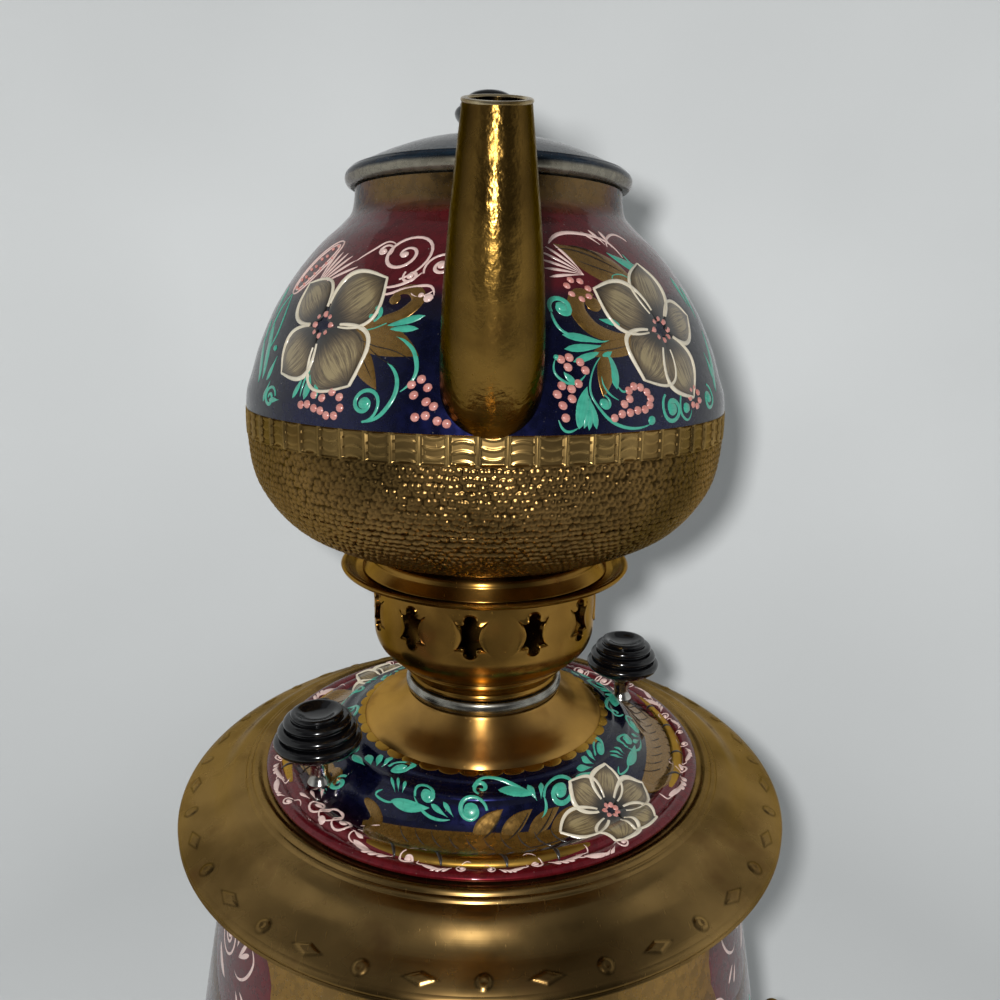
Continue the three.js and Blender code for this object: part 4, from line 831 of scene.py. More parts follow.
rimLacquer = tintedLacquer(
    "bluedAndSpeckledRim",
    [(0.0, "#7d7b74"), (11.6, "#8b8678"), (14.2, "#857f70"), (14.9, "#15222f"), (16.4, "#1d4258"),
     (18.0, "#0f1a28")],
    [(0, 0.9), (14.2, 0.8), (18, 0.9)], 0.8)
domeLacquer = tintedLacquer(
    "tintedLidDomeLacquer",
    [(0.0, "#6d7c80"), (2.0, "#51606a"), (5.0, "#20252f"), (26.0, "#161a26"), (30.0, "#8e7340")],
    [(0, 0.9), (5, 0.7), (26, 0.7), (30, 1)])
makePotLid()


# Teapot handle: a smooth black loop held in two short brass sockets
handleSizes = {
    "path": [(53, 88.5), (57, 91), (61, 93.5), (70, 97.2), (82, 97), (94, 89), (100, 74), (97, 57), (88, 44),
             (79, 38.5), (74, 37.2), (69, 36)],
    "radius": [(0, 4.7), (0.1, 4.8), (0.2, 5.9), (0.3, 6.5), (0.7, 6.6), (0.8, 6), (0.92, 4.8), (1, 4.7)],
    "socket": [[(4.9, -9), (6.3, -9)], [(6.4, -3), (6.9, -1.6), (7, -0.4), (6.5, 0.6)], [(5, 0.7)]],
    "wide": 1.12,  # width of the grip over its depth
    "socketShift": 4.2,  # from the middle of a socket's node to its shoulder
}


def makeTeapotHandle():
    s = handleSizes
    turn = math.radians(spoutSizes["turn"])
    path = smoothLine([(-out * math.sin(turn), out * math.cos(turn), up + teapotSizes["floor"])
                       for out, up in s["path"]], 1.2)
    radius = alongPath(path, s["radius"])
    radius = np.convolve(np.pad(radius, 3, mode="edge"), np.ones(7) / 7, mode="valid")
    loop = carried(path, radius, 48, (math.cos(turn), math.sin(turn), 0), flat=1 / s["wide"])
    makePiece("teapotHandle", [loop], "teapot", phenolic, ["teapot_handle"])
    line = np.vstack([section(s["socket"], 0.5, 0.2), [(4.9, -4.0)]])
    for name, at, before in (("Top", 0, 1), ("Bottom", -1, -2)):
        ends = path[[at, before]]
        along = ends[1] - ends[0]
        node = f"teapot_ferrule_{name.lower()}"
        place = setDown(middle(node) + along / np.linalg.norm(along) * s["socketShift"], along)
        makePiece(f"teapotSocket{name}", [spun(line, 64, True, place=place)],
                  "teapot", brass, [node])


makeTeapotHandle()
print("teapot made")

# Crown: pierced with stars between a turned foot and the flared rim that the teapot stands on
crownSizes = {
    "floor": lowest("crown") + 7,
    "wall": 1.2,
    "foot": [[(18.2, -7), (18.2, 0)], [(22.3, 0)],
             [(22.5, 0.9), (22.1, 1.6)], [(22.9, 2.4), (23.6, 3.6), (24.2, 4.3)],
             [(24.9, 4.5), (25.2, 5.2), (24.8, 5.8)], [(25.4, 6.5), (26.5, 7.4)],
             [(27.3, 7.5), (29.6, 9.2), (31.2, 11), (32.3, 13.4), (32.8, 16)]],
    "top": [[(32.8, 31.6), (32.8, 32.2), (32.6, 33)], [(36, 33.1), (37.8, 33.3)],
            [(39.2, 33.7), (40.6, 34.5)], [(41.6, 34.9), (42, 35.6), (41.5, 36.2)],
            [(40.6, 36.1), (39.4, 35.1), (37.8, 34.3)], [(34.5, 34.2)],
            [(31.6, 34.1)]],
    "starCount": 12,
    "starTurn": -10.3,  # degrees from the tap to the first star
    "starWide": 7.8,
    "starTall": 12,
    "starPlace": 23.6,  # height of the stars' middles
    "starRim": 0.4,
    "side": [(0.5, -0.3), (0.34, -0.13), (0.3, 0), (0.34, 0.13), (0.5, 0.3)],
    "end": [(0.5, 0.3), (0.3, 0.27), (0.2, 0.3), (0.22, 0.4), (0.13, 0.475), (0, 0.5), (-0.13, 0.475),
            (-0.22, 0.4), (-0.2, 0.3), (-0.3, 0.27), (-0.5, 0.3)],
    "sideSteps": 16,
    "endSteps": 24,
}


# the pierced wall: each sector is a grid of rings that grow from the star's outline to the sector's
# rectangle, laid on the cylinder; the star's edge is turned out a little and the wall closed inside it
def makeCrown():
    s = crownSizes
    line, top = section(s["foot"], 0.6, 0.2), section(s["top"], 0.6, 0.2)
    start, end = line[-1, 1], top[0, 1]
    outer = line[-1, 0]
    wide = fullTurn / s["starCount"] * outer
    even = lambda a, b, count: np.linspace(a, b, count, endpoint=False)

    def resampled(points, count):
        dense = smoothLine(points, 0.01)
        places = even(0, arcLengths(dense)[-1], count)
        return np.stack([np.interp(places, arcLengths(dense), column) for column in dense.T], axis=1)

    quarter = [resampled(s["side"], s["sideSteps"]), resampled(s["end"], s["endSteps"])]
    star = np.vstack(quarter + [-quarter[0], -quarter[1]]) * (s["starWide"], s["starTall"])
    x, low, high = wide / 2, start - s["starPlace"], end - s["starPlace"]
    turns = [(x, low), (x, high), (-x, high), (-x, low), (x, low)]
    steps = [s["sideSteps"], s["endSteps"]] * 2
    box = np.vstack([even(a, b, count) for a, b, count in zip(turns, turns[1:], steps)])
    # each ring's share of the box, height of its turned edge, and whether it lies on the inner face
    rows = [(1.0, 0.0, 0), (0.6, 0.0, 0), (0.3, 0.02, 0), (0.16, 0.12, 0), (0.08, 0.7, 0), (0.03, 1.0, 0),
            (0, 0.75, 0), (0, 0, 0), (0, 0, 1), (0.3, 0, 1), (1, 0, 1)]
    count = len(star)
    points, faces = [], []
    for sector in range(s["starCount"]):
        turn = math.radians(s["starTurn"]) + sector * fullTurn / s["starCount"]
        base = sector * len(rows) * count
        for blend, rim, inside in rows:
            flat = star * (1 - blend) + box * blend
            radius = outer + rim * s["starRim"] - inside * s["wall"]
            angle = turn + flat[:, 0] / outer
            points.append(np.stack([radius * np.sin(angle), -radius * np.cos(angle),
                                    flat[:, 1] + s["starPlace"]], axis=1))
        faces.append(gridQuads(len(rows), count) + base)
    columns = s["starCount"] * s["endSteps"]
    turn = math.radians(s["starTurn"]) + fullTurn / s["starCount"] / 2
    offset = sum(len(p) for p in points)
    insideFoot = [(outer - s["wall"], start), (30.6, 12.0), (26.0, 9.0), (21.6, 4.0), (17.0, 1.0),
                  (17.0, -7.0)]
    for loop in (np.vstack([insideFoot, line]), np.vstack([top, [(outer - s["wall"], end)]])):
        azimuth = turn + np.arange(columns) / columns * fullTurn
        points.append(np.stack([np.outer(loop[:, 0], np.sin(azimuth)), -np.outer(loop[:, 0], np.cos(azimuth)),
                                np.repeat(loop[:, 1:], columns, axis=1)], axis=-1).reshape(-1, 3))
        faces.append(gridQuads(len(loop), columns) + offset)
        offset += len(points[-1])
    mesh = bpy.data.meshes.new("crownRing")
    mesh.from_pydata((np.vstack(points) + (0, 0, s["floor"])) * metre, [], np.vstack(faces).tolist())
    # neighbouring grids share their border points, so these are merged and the faces wound again
    work = bmesh.new()
    work.from_mesh(mesh)
    bmesh.ops.remove_doubles(work, verts=work.verts, dist=0.002 * metre)
    bmesh.ops.recalc_face_normals(work, faces=work.faces)
    work.to_mesh(mesh)
    work.free()
    addPiece(mesh, "crown", brass, ["crown"])


makeCrown()
print("crown made")

# Samovar lid: maroon edge and roll, painted bowl and a satin gold neck, under the bright steel ring
lidSizes = {
    "floor": lowest("lid"),
    "edge": [[(64.4, 0), (65.3, 0.2)], [(65.3, 0.8)], [(64.9, 1.15), (61.7, 1.15)]],
    "roll": [[(61.7, 1.15), (61.3, 0.9), (60.9, 1.2)], [(59.8, 2), (58.9, 2.15), (57.9, 1.9), (57, 1.35)]],
    "bowl": [[(57, 1.35), (56.2, 1.15), (54.4, 1.3), (52.4, 1.7), (50.8, 2.5), (49.6, 3.5), (48.4, 4.8),
              (47, 6.3), (45.8, 7.6), (45.1, 8.1)],
             [(44.6, 8.75), (43.7, 9.15), (42.8, 9.2)],
             [(41.2, 9.6), (40.3, 10.1)], [(39.7, 10.65), (38.6, 10.95), (36.2, 11.4)]],
    "neck": [[(36.2, 11.4), (35.7, 12.2), (34.8, 13), (33.2, 13.7), (30.6, 14.4), (28, 15.4), (25.8, 17),
              (24.3, 18.5), (23.5, 19.4)],
             [(23.3, 19.9)], [(18.5, 19.9)]],
    "ring": [[(18.5, 0.0), (22.9, 0.0)], [(23.3, 0.5), (23.3, 3.2)], [(22.9, 3.7)], [(18.5, 3.7)],
             [(18.5, 0)]],
    "scallops": 40,
}


def makeLid():
    s = lidSizes
    down = setDown((0, 0, s["floor"]))
    lines = {}
    for name, finish, slot, back in (
            ("Edge", maroonLacquer, "painted_lid", [(61.7, 0.0)]),
            ("Roll", maroonLacquer, "painted_lid", [(57.0, 0.2), (61.7, 0.0)]),
            ("Bowl", bowlLacquer, "painted_lid", None),
            ("Neck", neckBrass, "brass", None)):
        line = section(s[name.lower()], 0.5, 0.2)
        loop = np.vstack([line, back]) if back else sheetRing(line, 1.1, 8)
        columns = 256 if name != "Neck" else 160
        nodes = ["lid"] if name == "Bowl" else []
        makePiece("lid" + name, [spun(loop, columns, True, place=down)], "lid", finish, nodes)
        lines[name] = line + (0, s["floor"])
    place = setDown((0, 0, lowest("steel_ring")))
    makePiece("steelRing", [spun(section(s["ring"], 0.4, 0.25, True), 160, True, place=place)],
              "lid", steel, ["steel_ring"])
    return lines


maroonLacquer = tintedLacquer(
    "tintedMaroonLacquer", [(0.0, "#5e0f18"), (8.0, "#66121c")], [(0.0, 0.4), (8.0, 0.45)])
bowlLacquer = tintedLacquer(
    "tintedNavyLacquer",
    [(0.0, "#3c0f1a"), (3.0, "#1d1024"), (7.0, "#0f1230"), (22.0, "#0c1030"), (28.0, "#0b0e2c")],
    [(0, 0.7), (28, 0.8)], 1)
lidLines = makeLid()

# Lid knobs: turned black rings with a dished top, on waisted nickel posts
knobSizes = {
    "rings": [[(2.3, 0), (4, 0)],
              [(6.8, 0.7), (10.2, 2.2), (11.7, 3.6), (12, 4.6), (11.7, 5.5), (10.8, 6), (9.9, 6)],
              [(9.6, 6.4), (10.3, 6.7), (10.8, 7.4), (10.6, 8.2), (9.8, 8.8), (8.6, 8.8)],
              [(8.3, 9.2), (8.9, 9.5), (9.2, 10.2), (8.9, 10.9), (8, 11.4), (7, 11.4)],
              [(6.8, 11.8), (7.2, 12.2), (7, 12.7), (6.2, 13), (5.2, 12.7), (3.6, 11.9), (1.8, 11.5),
               (0, 11.4)]],
    "post": [[(0, -6), (2, -6)], [(2, 0)], [(3.6, 0)],
             [(3.6, 1)], [(3.1, 1.8), (2.5, 3), (2.4, 4.5), (2.6, 6.2), (3.3, 7.5)],
             [(3.7, 8), (3.6, 9)], [(2, 9)], [(2, 14.4)],
             [(0, 14.4)]],
    "postFoot": 6.0,  # the part of the post inside the lid
}


def makeLidKnobs():
    s = knobSizes
    knob = np.vstack([[(0, 6), (2.3, 6)], section(s["rings"], 0.35, 0.25)])
    post = section(s["post"], 0.5, 0.2)
    for side in ("right", "left"):
        for node, line, slot, finish, rise in (
                (f"lid_knob_{side}", knob, "black_plastic", phenolic, 0),
                (f"lid_post_{side}", post, "nickel", nickel, s["postFoot"])):
            x, y, _ = middle(node)
            place = setDown((x, y, lowest(node) + rise))
            name = node.replace("lid_", "lid").replace("_" + side, side.capitalize())
            makePiece(name, [spun(line, 96, place=place)], "lid", finish, [node], sharp=26)


makeLidKnobs()
print("lid made")

# Collar: the wide brushed rim round the lid, with a stamped row of dots and diamonds near its edge
collarSizes = {
    "seat": lowest("collar") + 12,  # the sleeve goes 12 mm into the body's mouth
    "inside": [[(61.3, -12), (62.5, -12)], [(62.5, 0)], [(66.3, 0)],
               [(66.9, 0.25), (67.6, 0.8), (68.4, 1), (69.1, 0.75), (69.6, 0)],
               [(70.2, 0.1), (70.8, -0.1), (71.2, -0.7)],
               [(73.2, -1), (75, -1.55), (76.6, -2.6), (78.2, -3.9), (79.8, -5), (81.4, -5.7),
                (83, -6.2)]],
    "stamped": [(83, -6.2), (84.6, -6.65), (86.5, -7.25), (88, -7.9), (88.8, -8.4)],
    "lip": [[(88.8, -8.4), (89.6, -8.9), (90, -9.5), (89.8, -10.1), (89.3, -10.3)],
            [(89.9, -10.6), (90, -11), (89.6, -11.4), (89, -11.4)],
            [(88.4, -10.6)]],
    "back": [(88.6, -10.2), (88.2, -9.6), (83, -7.4), (79.5, -6.4), (75, -3), (71, -2.2), (64, -1.2),
             (61.3, -2)],
    "markCount": 20,
    "markTurn": -3.5,
    "markRadius": 86.3,
    "dot": 1.75,
    "diamond": (3.9, 1.5),  # half length along the rim and half width
    "rise": 0.55,
}


def makeCollar():
    s = collarSizes
    down = setDown((0, 0, s["seat"]))
    inside = section(s["inside"], 0.7, 0.25)
    stamped = smoothLine(s["stamped"][::-1], 0.3)
    lip = section(s["lip"], 0.35, 0.15)
    back = np.array(s["back"])
    place = np.interp(s["markRadius"], stamped[::-1, 0], arcLengths(stamped)[::-1])

    # dots with a small crater, and diamonds with a pressed middle, halfway between the dots
    def marks(azimuth, arc):
        pitch = fullTurn / s["markCount"]
        away = (azimuth - math.radians(s["markTurn"]) + pitch / 2) % pitch - pitch / 2
        beside = (azimuth - math.radians(s["markTurn"])) % pitch - pitch / 2
        x, x2, y = away * s["markRadius"], beside * s["markRadius"], arc - place
        d = np.hypot(x, y) / s["dot"]
        dot = np.clip(1 - d, 0, 1) ** 0.6 - 0.75 * np.exp(-(d / 0.34) ** 2)
        length, width = s["diamond"]
        k = np.abs(x2) / length + np.abs(y) / width
        diamond = np.clip(1 - k, 0, 1) ** 0.6 - 0.5 * np.clip(1 - k * 1.8, 0, 1)
        return dot * (d < 1) + diamond * (k < 1), np.clip(1.25 - np.abs(np.minimum(d, k) - 1.05) * 5, 0, 1)

    reach = arcLengths(stamped)[-1]
    keep = lambda t: (t <= reach) * np.clip(t / 0.5, 0, 1) * np.clip((reach - t) / 0.5, 0, 1)
    lift = lambda a, t: s["rise"] * marks(a, t)[0] * keep(t)
    hollow = lambda a, t: 0.55 * marks(a, t)[1] * keep(t)
    stampedLoop = np.vstack([stamped, (stamped - outward(stamped) * 1.2)[::-6]])
    shells = [
        spun(np.vstack([inside, back[2:]]), 288, True, place=down),
        spun(stampedLoop, 1500, True, lift, hollow, down),
        spun(np.vstack([lip, back[:2]]), 288, True, place=down),
    ]
    makePiece("collarRim", shells, "body", collarBrass, ["collar"])


makeCollar()

# Body: a painted ball between a gold foot and the straight rim at the mouth
bodySizes = {
    "paintHeights": (130.0, 178.0),  # of the bunches' hearts and of the garland
    "floor": lowest("body_shell"),
    "wall": 1.5,
    "outline": [[(0, 0), (36, 0)], [(38, 0.2), (39.2, 1.4), (39.6, 2.6)],
                [(44, 3.2), (54.5, 7.6), (66.8, 16.6), (77.6, 28.8), (85.4, 47), (89.4, 70.5),
                 (90.4, 98.4), (89, 126.2), (85, 151.9), (78.9, 180.4), (74, 195), (68.4, 206),
                 (65.9, 209)],
                [(65.5, 210.4), (65.5, 213.9)]],
}


def makeBody():
    s = bodySizes
    down = setDown((0, 0, s["floor"]))
    line = section(s["outline"], 1.2, 0.4)
    inner = (line - outward(line) * s["wall"])[::-8]
    inner = inner[inner[:, 0] > 3]
    loop = np.vstack([line, inner, [(0, s["wall"])]])
    makePiece("bodyVessel", [spun(loop, 224, place=down)],
              "body", bodyLacquer, ["body_shell"])
    return line + (0, s["floor"])


bodyLacquer = tintedLacquer(
    "tintedBodyLacquer",
    [(0.0, "#a37b35"), (70.0, "#a37b35"), (76.0, "#4c0d15"), (110.0, "#480d15"), (122.0, "#10143a"),
     (196.0, "#0e1230"), (206.0, "#4a0c15"), (216.0, "#4f0d15"), (224.0, "#8f6c30"), (320.0, "#a37b35")],
    [(0, 1), (70, 1), (76, 0.4), (110, 0.4), (122, 0.75), (196, 0.75), (206, 0.4), (216, 0.4),
     (224, 1), (320, 1)], 3)
bodyLine = makeBody()

# Neck and base: turned brass mouldings down to a round foot
standSizes = {
    "neckFloor": lowest("neck"),
    "neck": [[(31, 1.2), (31, 0)], [(35.9, 0)], [(36.6, 1.2), (36.6, 3.4), (35.9, 4.6)],
             [(34.6, 5)], [(33, 7), (29.4, 10.6), (27, 13.8), (26.2, 17)],
             [(27.4, 18), (27.8, 19.6), (27.4, 21.2), (26.2, 22.2)],
             [(26.5, 26), (28.2, 30.6), (31, 34.4), (33.6, 37.2)],
             [(35.2, 37.8), (35.9, 39), (35.6, 40.2)], [(36.8, 42), (38.6, 44)],
             [(39, 44.9), (38.8, 46)], [(31, 46)], [(31, 44.8)]],
    "neckBack": [(36.5, 44.6), (32, 37.5), (27, 31), (25.2, 26), (25, 17), (28, 10), (33, 4.5), (34.5, 1.2)],
    "base": [[(68.6, 0), (69.6, 0)], [(70, 1.2), (70, 4.2), (69.2, 5.6)], [(66.6, 6.2)],
             [(66.2, 7.6), (64.8, 9.4), (61.6, 11)], [(60.6, 11.3), (60.4, 12.4)],
             [(60.2, 15.8)], [(59.6, 17), (57.8, 17.4)],
             [(55, 18.4), (51.6, 21.6), (46.6, 26.8), (42.4, 31.4)],
             [(42.6, 32.6), (41.8, 33.8), (40.6, 34.2)],
             [(37.6, 39.2), (35.6, 44.8), (34.9, 49.8), (35.4, 55.4)],
             [(36.6, 56.6), (37, 58.6), (37.1, 61.4)], [(36.6, 62), (4.3, 62)]],
    "baseBack": [(4.3, 60.5), (34.8, 60.5), (33.4, 50), (36, 39), (44, 27.2), (55, 16.6), (58.8, 9.6),
                 (66, 5), (68.4, 1.5)],
    "cover": [[(0, 3), (67.9, 3)], [(68.2, 2.7), (68.2, 0.4)], [(67.8, 0)], [(60.5, 0)],
              [(59.7, 0.5), (58.8, 0)], [(0, 0)]],
}


def makeStand():
    s = standSizes
    neck = np.vstack([section(s["neck"], 0.7, 0.25), s["neckBack"]])
    makePiece("neckMoulding", [spun(neck, 192, True, place=setDown((0, 0, s["neckFloor"])))],
              "body", brass, ["neck"])
    base = np.vstack([section(s["base"], 0.7, 0.25), s["baseBack"]])
    makePiece("baseFoot", [spun(base, 192, True)], "body", brass, ["base_shell"])
    makePiece("bottomCover", [spun(section(s["cover"], 2.0, 0.15), 192)], "body", steel,
              ["bottom_cover"])


makeStand()

# Tap: shank and rosette on the body, a tapered plug in its housing, a hooked outlet and an openwork key
tapSizes = {
    "axis": -middle("tap_plug")[1],
    "rise": lowest("tap_plug") + 26,
    "housing": [[(7, -17), (9.2, -17)], [(9.8, -16.2), (9.6, -15)], [(8.6, -14), (8.3, -11.5), (9.2, -8)],
                [(9.9, -4), (10, 0), (9.9, 4), (9.2, 8)], [(8.6, 10), (8.9, 11.8)],
                [(9.8, 12.6), (9.8, 14.2), (9.2, 15)], [(7.2, 15)]],
    "shank": [(0, 6.5), (0.3, 6.3), (0.5, 5.6), (0.62, 6.6), (0.7, 5.8), (1, 6.4)],
    "outlet": [(0, 0), (-7, -0.6), (-14.4, -2.2), (-20, -6.4), (-22.8, -13), (-23.4, -22), (-23.4, -32.9)],
    "outletRadius": [(0, 6.2), (0.3, 5.9), (0.6, 5.5), (0.85, 5.2), (0.9, 5.9), (0.94, 5.9), (0.96, 5.2),
                     (1, 5.3)],
    "rosette": [[(6.8, -1.2), (14.6, -1.2)], [(15, 0.2), (14.6, 1.2), (13.4, 1.6)],
                [(12.6, 2.4), (10.4, 3.2)],
                [(9.4, 4.4), (7.6, 5)], [(6.8, 5)]],
    "plug": [[(0, -26), (2.5, -26)], [(2.5, -17)], [(5.6, -17)], [(6.8, 15)],
             [(6.4, 16.6), (4.2, 18.4), (3.2, 18.8)], [(3.2, 32)], [(0, 32)]],
    "web": [(-19, 0), (-14, 0.4), (-6, 0), (6, 0), (14, 0.4), (19, 0)],
    "hub": [[(0, 0), (5.2, 0)], [(6, 0.8), (6, 3.6), (5, 4.6)], [(4, 6.4), (3.6, 9), (4.4, 11.4)],
            [(5, 12.6), (4, 13.6), (0, 14)]],
    "washer": [[(2.8, 0), (7.6, 0)], [(8, 0.7), (7.6, 1.4)], [(2.8, 1.4)], [(2.8, 0)]],
    "nut": [[(2.6, 0), (5.2, 0)], [(5.9, 0.7), (5.9, 3.3), (5.2, 4)], [(2.6, 4)], [(2.6, 0)]],
    "shankInside": 18.0,  # how far the shank runs into the vessel
    "outletWall": 1.9,
    "bodyReach": 36.0,  # from the wall of the body to the plug's axis
    "keySpan": 47.6,
    "keyRise": 25.6,
}


# a lift that draws a round stretch of a line in to a nut's six flats: r (cos 30 / cos(angle) - 1)
def hexagon(radius, start, end):
    flats = lambda a: np.cos(math.pi / 6) / np.cos(a % (fullTurn / 6) - math.pi / 6) - 1
    return lambda a, t: np.where((t > start) & (t < end), radius * flats(a), 0)


# the tap; its key's leaf is a waisted oval frame round two loops, a bar carried along each oval
def makeTap():
    s = tapSizes
    axis, rise = s["axis"], s["rise"]
    wall = axis - s["bodyReach"]
    upright = setDown((0, -axis, rise))
    shank = smoothLine([(0, -wall + s["shankInside"], rise), (0, -axis, rise)], 0.8)
    outlet = smoothLine([(0, -axis + out, rise + up) for out, up in s["outlet"]], 0.7)
    outletRadius = alongPath(outlet, s["outletRadius"])
    shells = [
        spun(section(s["housing"], 0.5, 0.2), 96, True, place=upright),
        carried(shank, alongPath(shank, s["shank"]), 64),
        carried(outlet[6:], outletRadius[6:], 64, bore=outletRadius[6:] - s["outletWall"]),
    ]
    makePiece("tapHousing", shells, "body", castBrass, ["tap_body"])
    rosette = section(s["rosette"], 0.5, 0.2)
    # sixteen low petals pressed into the rosette's slope
    petals = lambda a, t: 0.35 * np.abs(np.cos(a * 8)) * np.exp(-((t - 11.5) / 2.2) ** 2)
    makePiece("tapRosette", [spun(rosette, 160, True, petals, place=setDown((0, -wall, rise), (0, -1, 0)))],
              "body", brass, ["tap_rosette"])
    makePiece("tapPlug", [spun(section(s["plug"], 0.6, 0.2), 64, place=upright)],
              "tap_key", castBrass, ["tap_plug"])
    low, high = corners("tap_key")
    leaf = high[2] - s["keyRise"] / 2 - 0.2
    angle = np.linspace(0, fullTurn, 145)
    span, height = s["keySpan"], s["keyRise"]
    bars = []
    loops = [(place, 0.15 * span + 1, 0.22 * height + 1.2, 1.5) for place in (-0.26, 0.26)]
    for place, wide, tall, thick in [(0, 0.5 * span - 1.9, 0.5 * height - 1.9, 1.8)] + loops:
        pinch = 0.62 + 0.38 * np.abs(np.cos(angle)) if place == 0 else 1.0
        path = np.stack([place * span + np.cos(angle) * wide, np.full(len(angle), -axis),
                         leaf + np.sin(angle) * pinch * tall], axis=1)
        bars.append(closedBar(path, thick))
    web = smoothLine([(out, -axis, leaf + up) for out, up in s["web"]], 0.8)
    flatWeb = carried(web, 1.5 + 0.9 * np.exp(-(web[:, 0] / 5) ** 2), 24, side=(0, 1, 0))
    hub = spun(section(s["hub"], 0.5, 0.2), 64, place=setDown((0, -axis, low[2])))
    makePiece("tapKey", bars + [hub, flatWeb], "tap_key", castBrass, ["tap_key"])
    for name, node, line, columns, lift in (
            ("tapWasher", "tap_washer", section(s["washer"], 0.5, 0.15, True), 64, None),
            ("tapTailNut", "tap_tail_nut", section(s["nut"], 0.3, 0.15, True), 96, hexagon(5.9, 3.0, 6.6))):
        place = setDown((0, -axis, lowest(node)))
        makePiece(name, [spun(line, columns, True, lift, place=place)], "tap_key", brass, [node])


# a round bar whose closed flat path lies square to the y axis: rings of the path plus its normal and y
def closedBar(path, radius, columns=20):
    ring = path[:-1]
    along = np.roll(ring, -1, axis=0) - np.roll(ring, 1, axis=0)
    along /= np.linalg.norm(along, axis=1)[:, None]
    across = np.cross((0, 1, 0), along)
    angle = np.arange(columns) / columns * fullTurn
    cosine, sine = np.cos(angle)[None, :, None], np.sin(angle)[None, :, None]
    points = ring[:, None] + (cosine * across[:, None] + sine * np.array((0, 1.0, 0))) * radius
    return gridShell(points, arcLengths(ring), True, np.zeros(points.shape[:2]))


makeTap()
print("body, base and tap made")

# Side handles: a ridged black grip on a rod between two brass brackets, with domed nuts
sideSizes = {
    "grip": [[(2.6, 0), (5.4, 0)], [(6.2, 0.6), (7.6, 3.2), (7.9, 4.6), (7.2, 6.2)],
             [(6.8, 7.2), (6.9, 8.4)],
             [(8.4, 11.6), (8.9, 14.6), (9.1, 28), (8.9, 41.4), (8.4, 44.4), (6.9, 47.6)],
             [(6.8, 48.8), (7.2, 49.8)], [(7.9, 51.4), (7.6, 52.8), (6.2, 55.4), (5.4, 56)],
             [(2.6, 56)]],
    "eye": [[(2.6, -3), (5.8, -3)], [(6.5, -2.2), (6.3, 0), (6.5, 2.2), (5.8, 3)], [(2.6, 3)]],
    "foot": [(0, -4), (9, -4), (10, -2.6), (9.8, 0.4), (8.6, 1.4), (7.6, 1.8), (6.4, 3), (4.6, 4.2),
             (0, 4.6)],
    "nut": [[(0, 0.4), (4.6, 0)], [(5, 0.5), (5, 2.4), (4.6, 3)],
            [(3.9, 3.3), (3.6, 4.6), (2.4, 6.2), (0, 7)]],
    "reach": 36,
    "sag": 7,
    "bracketPlace": 31.3,
}


def makeSideHandles():
    s = sideSizes
    grip = section(s["grip"], 0.6, 0.3)
    eye = section(s["eye"], 0.5, 0.2)
    foot = smoothLine(s["foot"], 0.5)
    nut = section(s["nut"], 0.4, 0.2)
    hexed = hexagon(5.0, 4.4, 8.2)
    for side, way in (("right", 1), ("left", -1)):
        centre = middle(f"handle_{side}_grip")
        gripLine = setDown(centre - (0, s["grip"][-1][-1][1] / 2, 0), (0, 1, 0))
        makePiece(f"handle{side.capitalize()}Grip", [spun(grip, 96, True, place=gripLine)],
                  "body", phenolic, [f"handle_{side}_grip"])
        for number in (1, 2):
            node = f"handle_{side}_bracket_{number}"
            y = math.copysign(s["bracketPlace"], middle(node)[1])
            x, z = centre[0], centre[2]
            onBody = math.sqrt((abs(x) - s["reach"]) ** 2 - y**2)
            bends = ((way * (onBody - 2), z), (way * (onBody + 9.0), z - s["sag"]),
                     (x - way * 12.6, z - s["sag"] + 0.4), (x - way * 3.6, z - 1.4))
            arm = smoothLine([(out, y, up) for out, up in bends], 0.8)
            share = np.linspace(0, 1, len(arm))
            bead = 0.7 * np.exp(-((share - 0.5) / 0.05) ** 2)
            radius = 3.7 - 0.8 * share + bead + 1.6 * np.exp(-(share / 0.12) ** 2)
            shells = [
                carried(arm, radius, 48, side=(0, 1, 0)),
                spun(eye, 64, True, place=setDown((x, y, z), (0, 1, 0))),
                spun(foot, 72, place=setDown((way * (onBody + 0.4), y, z), (way * 0.93, y / 90, 0))),
            ]
            makePiece(f"handle{side.capitalize()}Bracket{number}", shells, "body", castBrass, [node])
            node = f"handle_{side}_cap_nut_{number}"
            at = middle(node)
            out = math.copysign(1, at[1])
            place = setDown((at[0], at[1] - out * 3.5, at[2]), (0, out, 0))
            makePiece(f"handle{side.capitalize()}CapNut{number}", [spun(nut, 96, lift=hexed, place=place)],
                      "body", brass, [node])


makeSideHandles()

# Mains inlet at the back: a ribbed black shroud round two pins
inletSizes = {
    "widest": 12.0,
    "shroud": [[(12, 0), (12, 26)], [(12.6, 26.6), (12.6, 28.2)], [(12, 28.8), (12, 33)],
               [(11.6, 34)], [(10.6, 34)], [(10.2, 33.4), (10.2, 6)], [(0, 6)]],
}


def makeInlet():
    low, high = corners("inlet_shroud")
    line = section(inletSizes["shroud"], 0.6, 0.25)
    line[:, 0] = np.minimum(line[:, 0], inletSizes["widest"])
    place = setDown(((low[0] + high[0]) / 2, low[1], (low[2] + high[2]) / 2), (0, 1, 0))
    makePiece("inletShroud", [spun(np.vstack([[(0, 0)], line]), 96, place=place)],
              "body", phenolic, ["inlet_shroud"])


makeInlet()

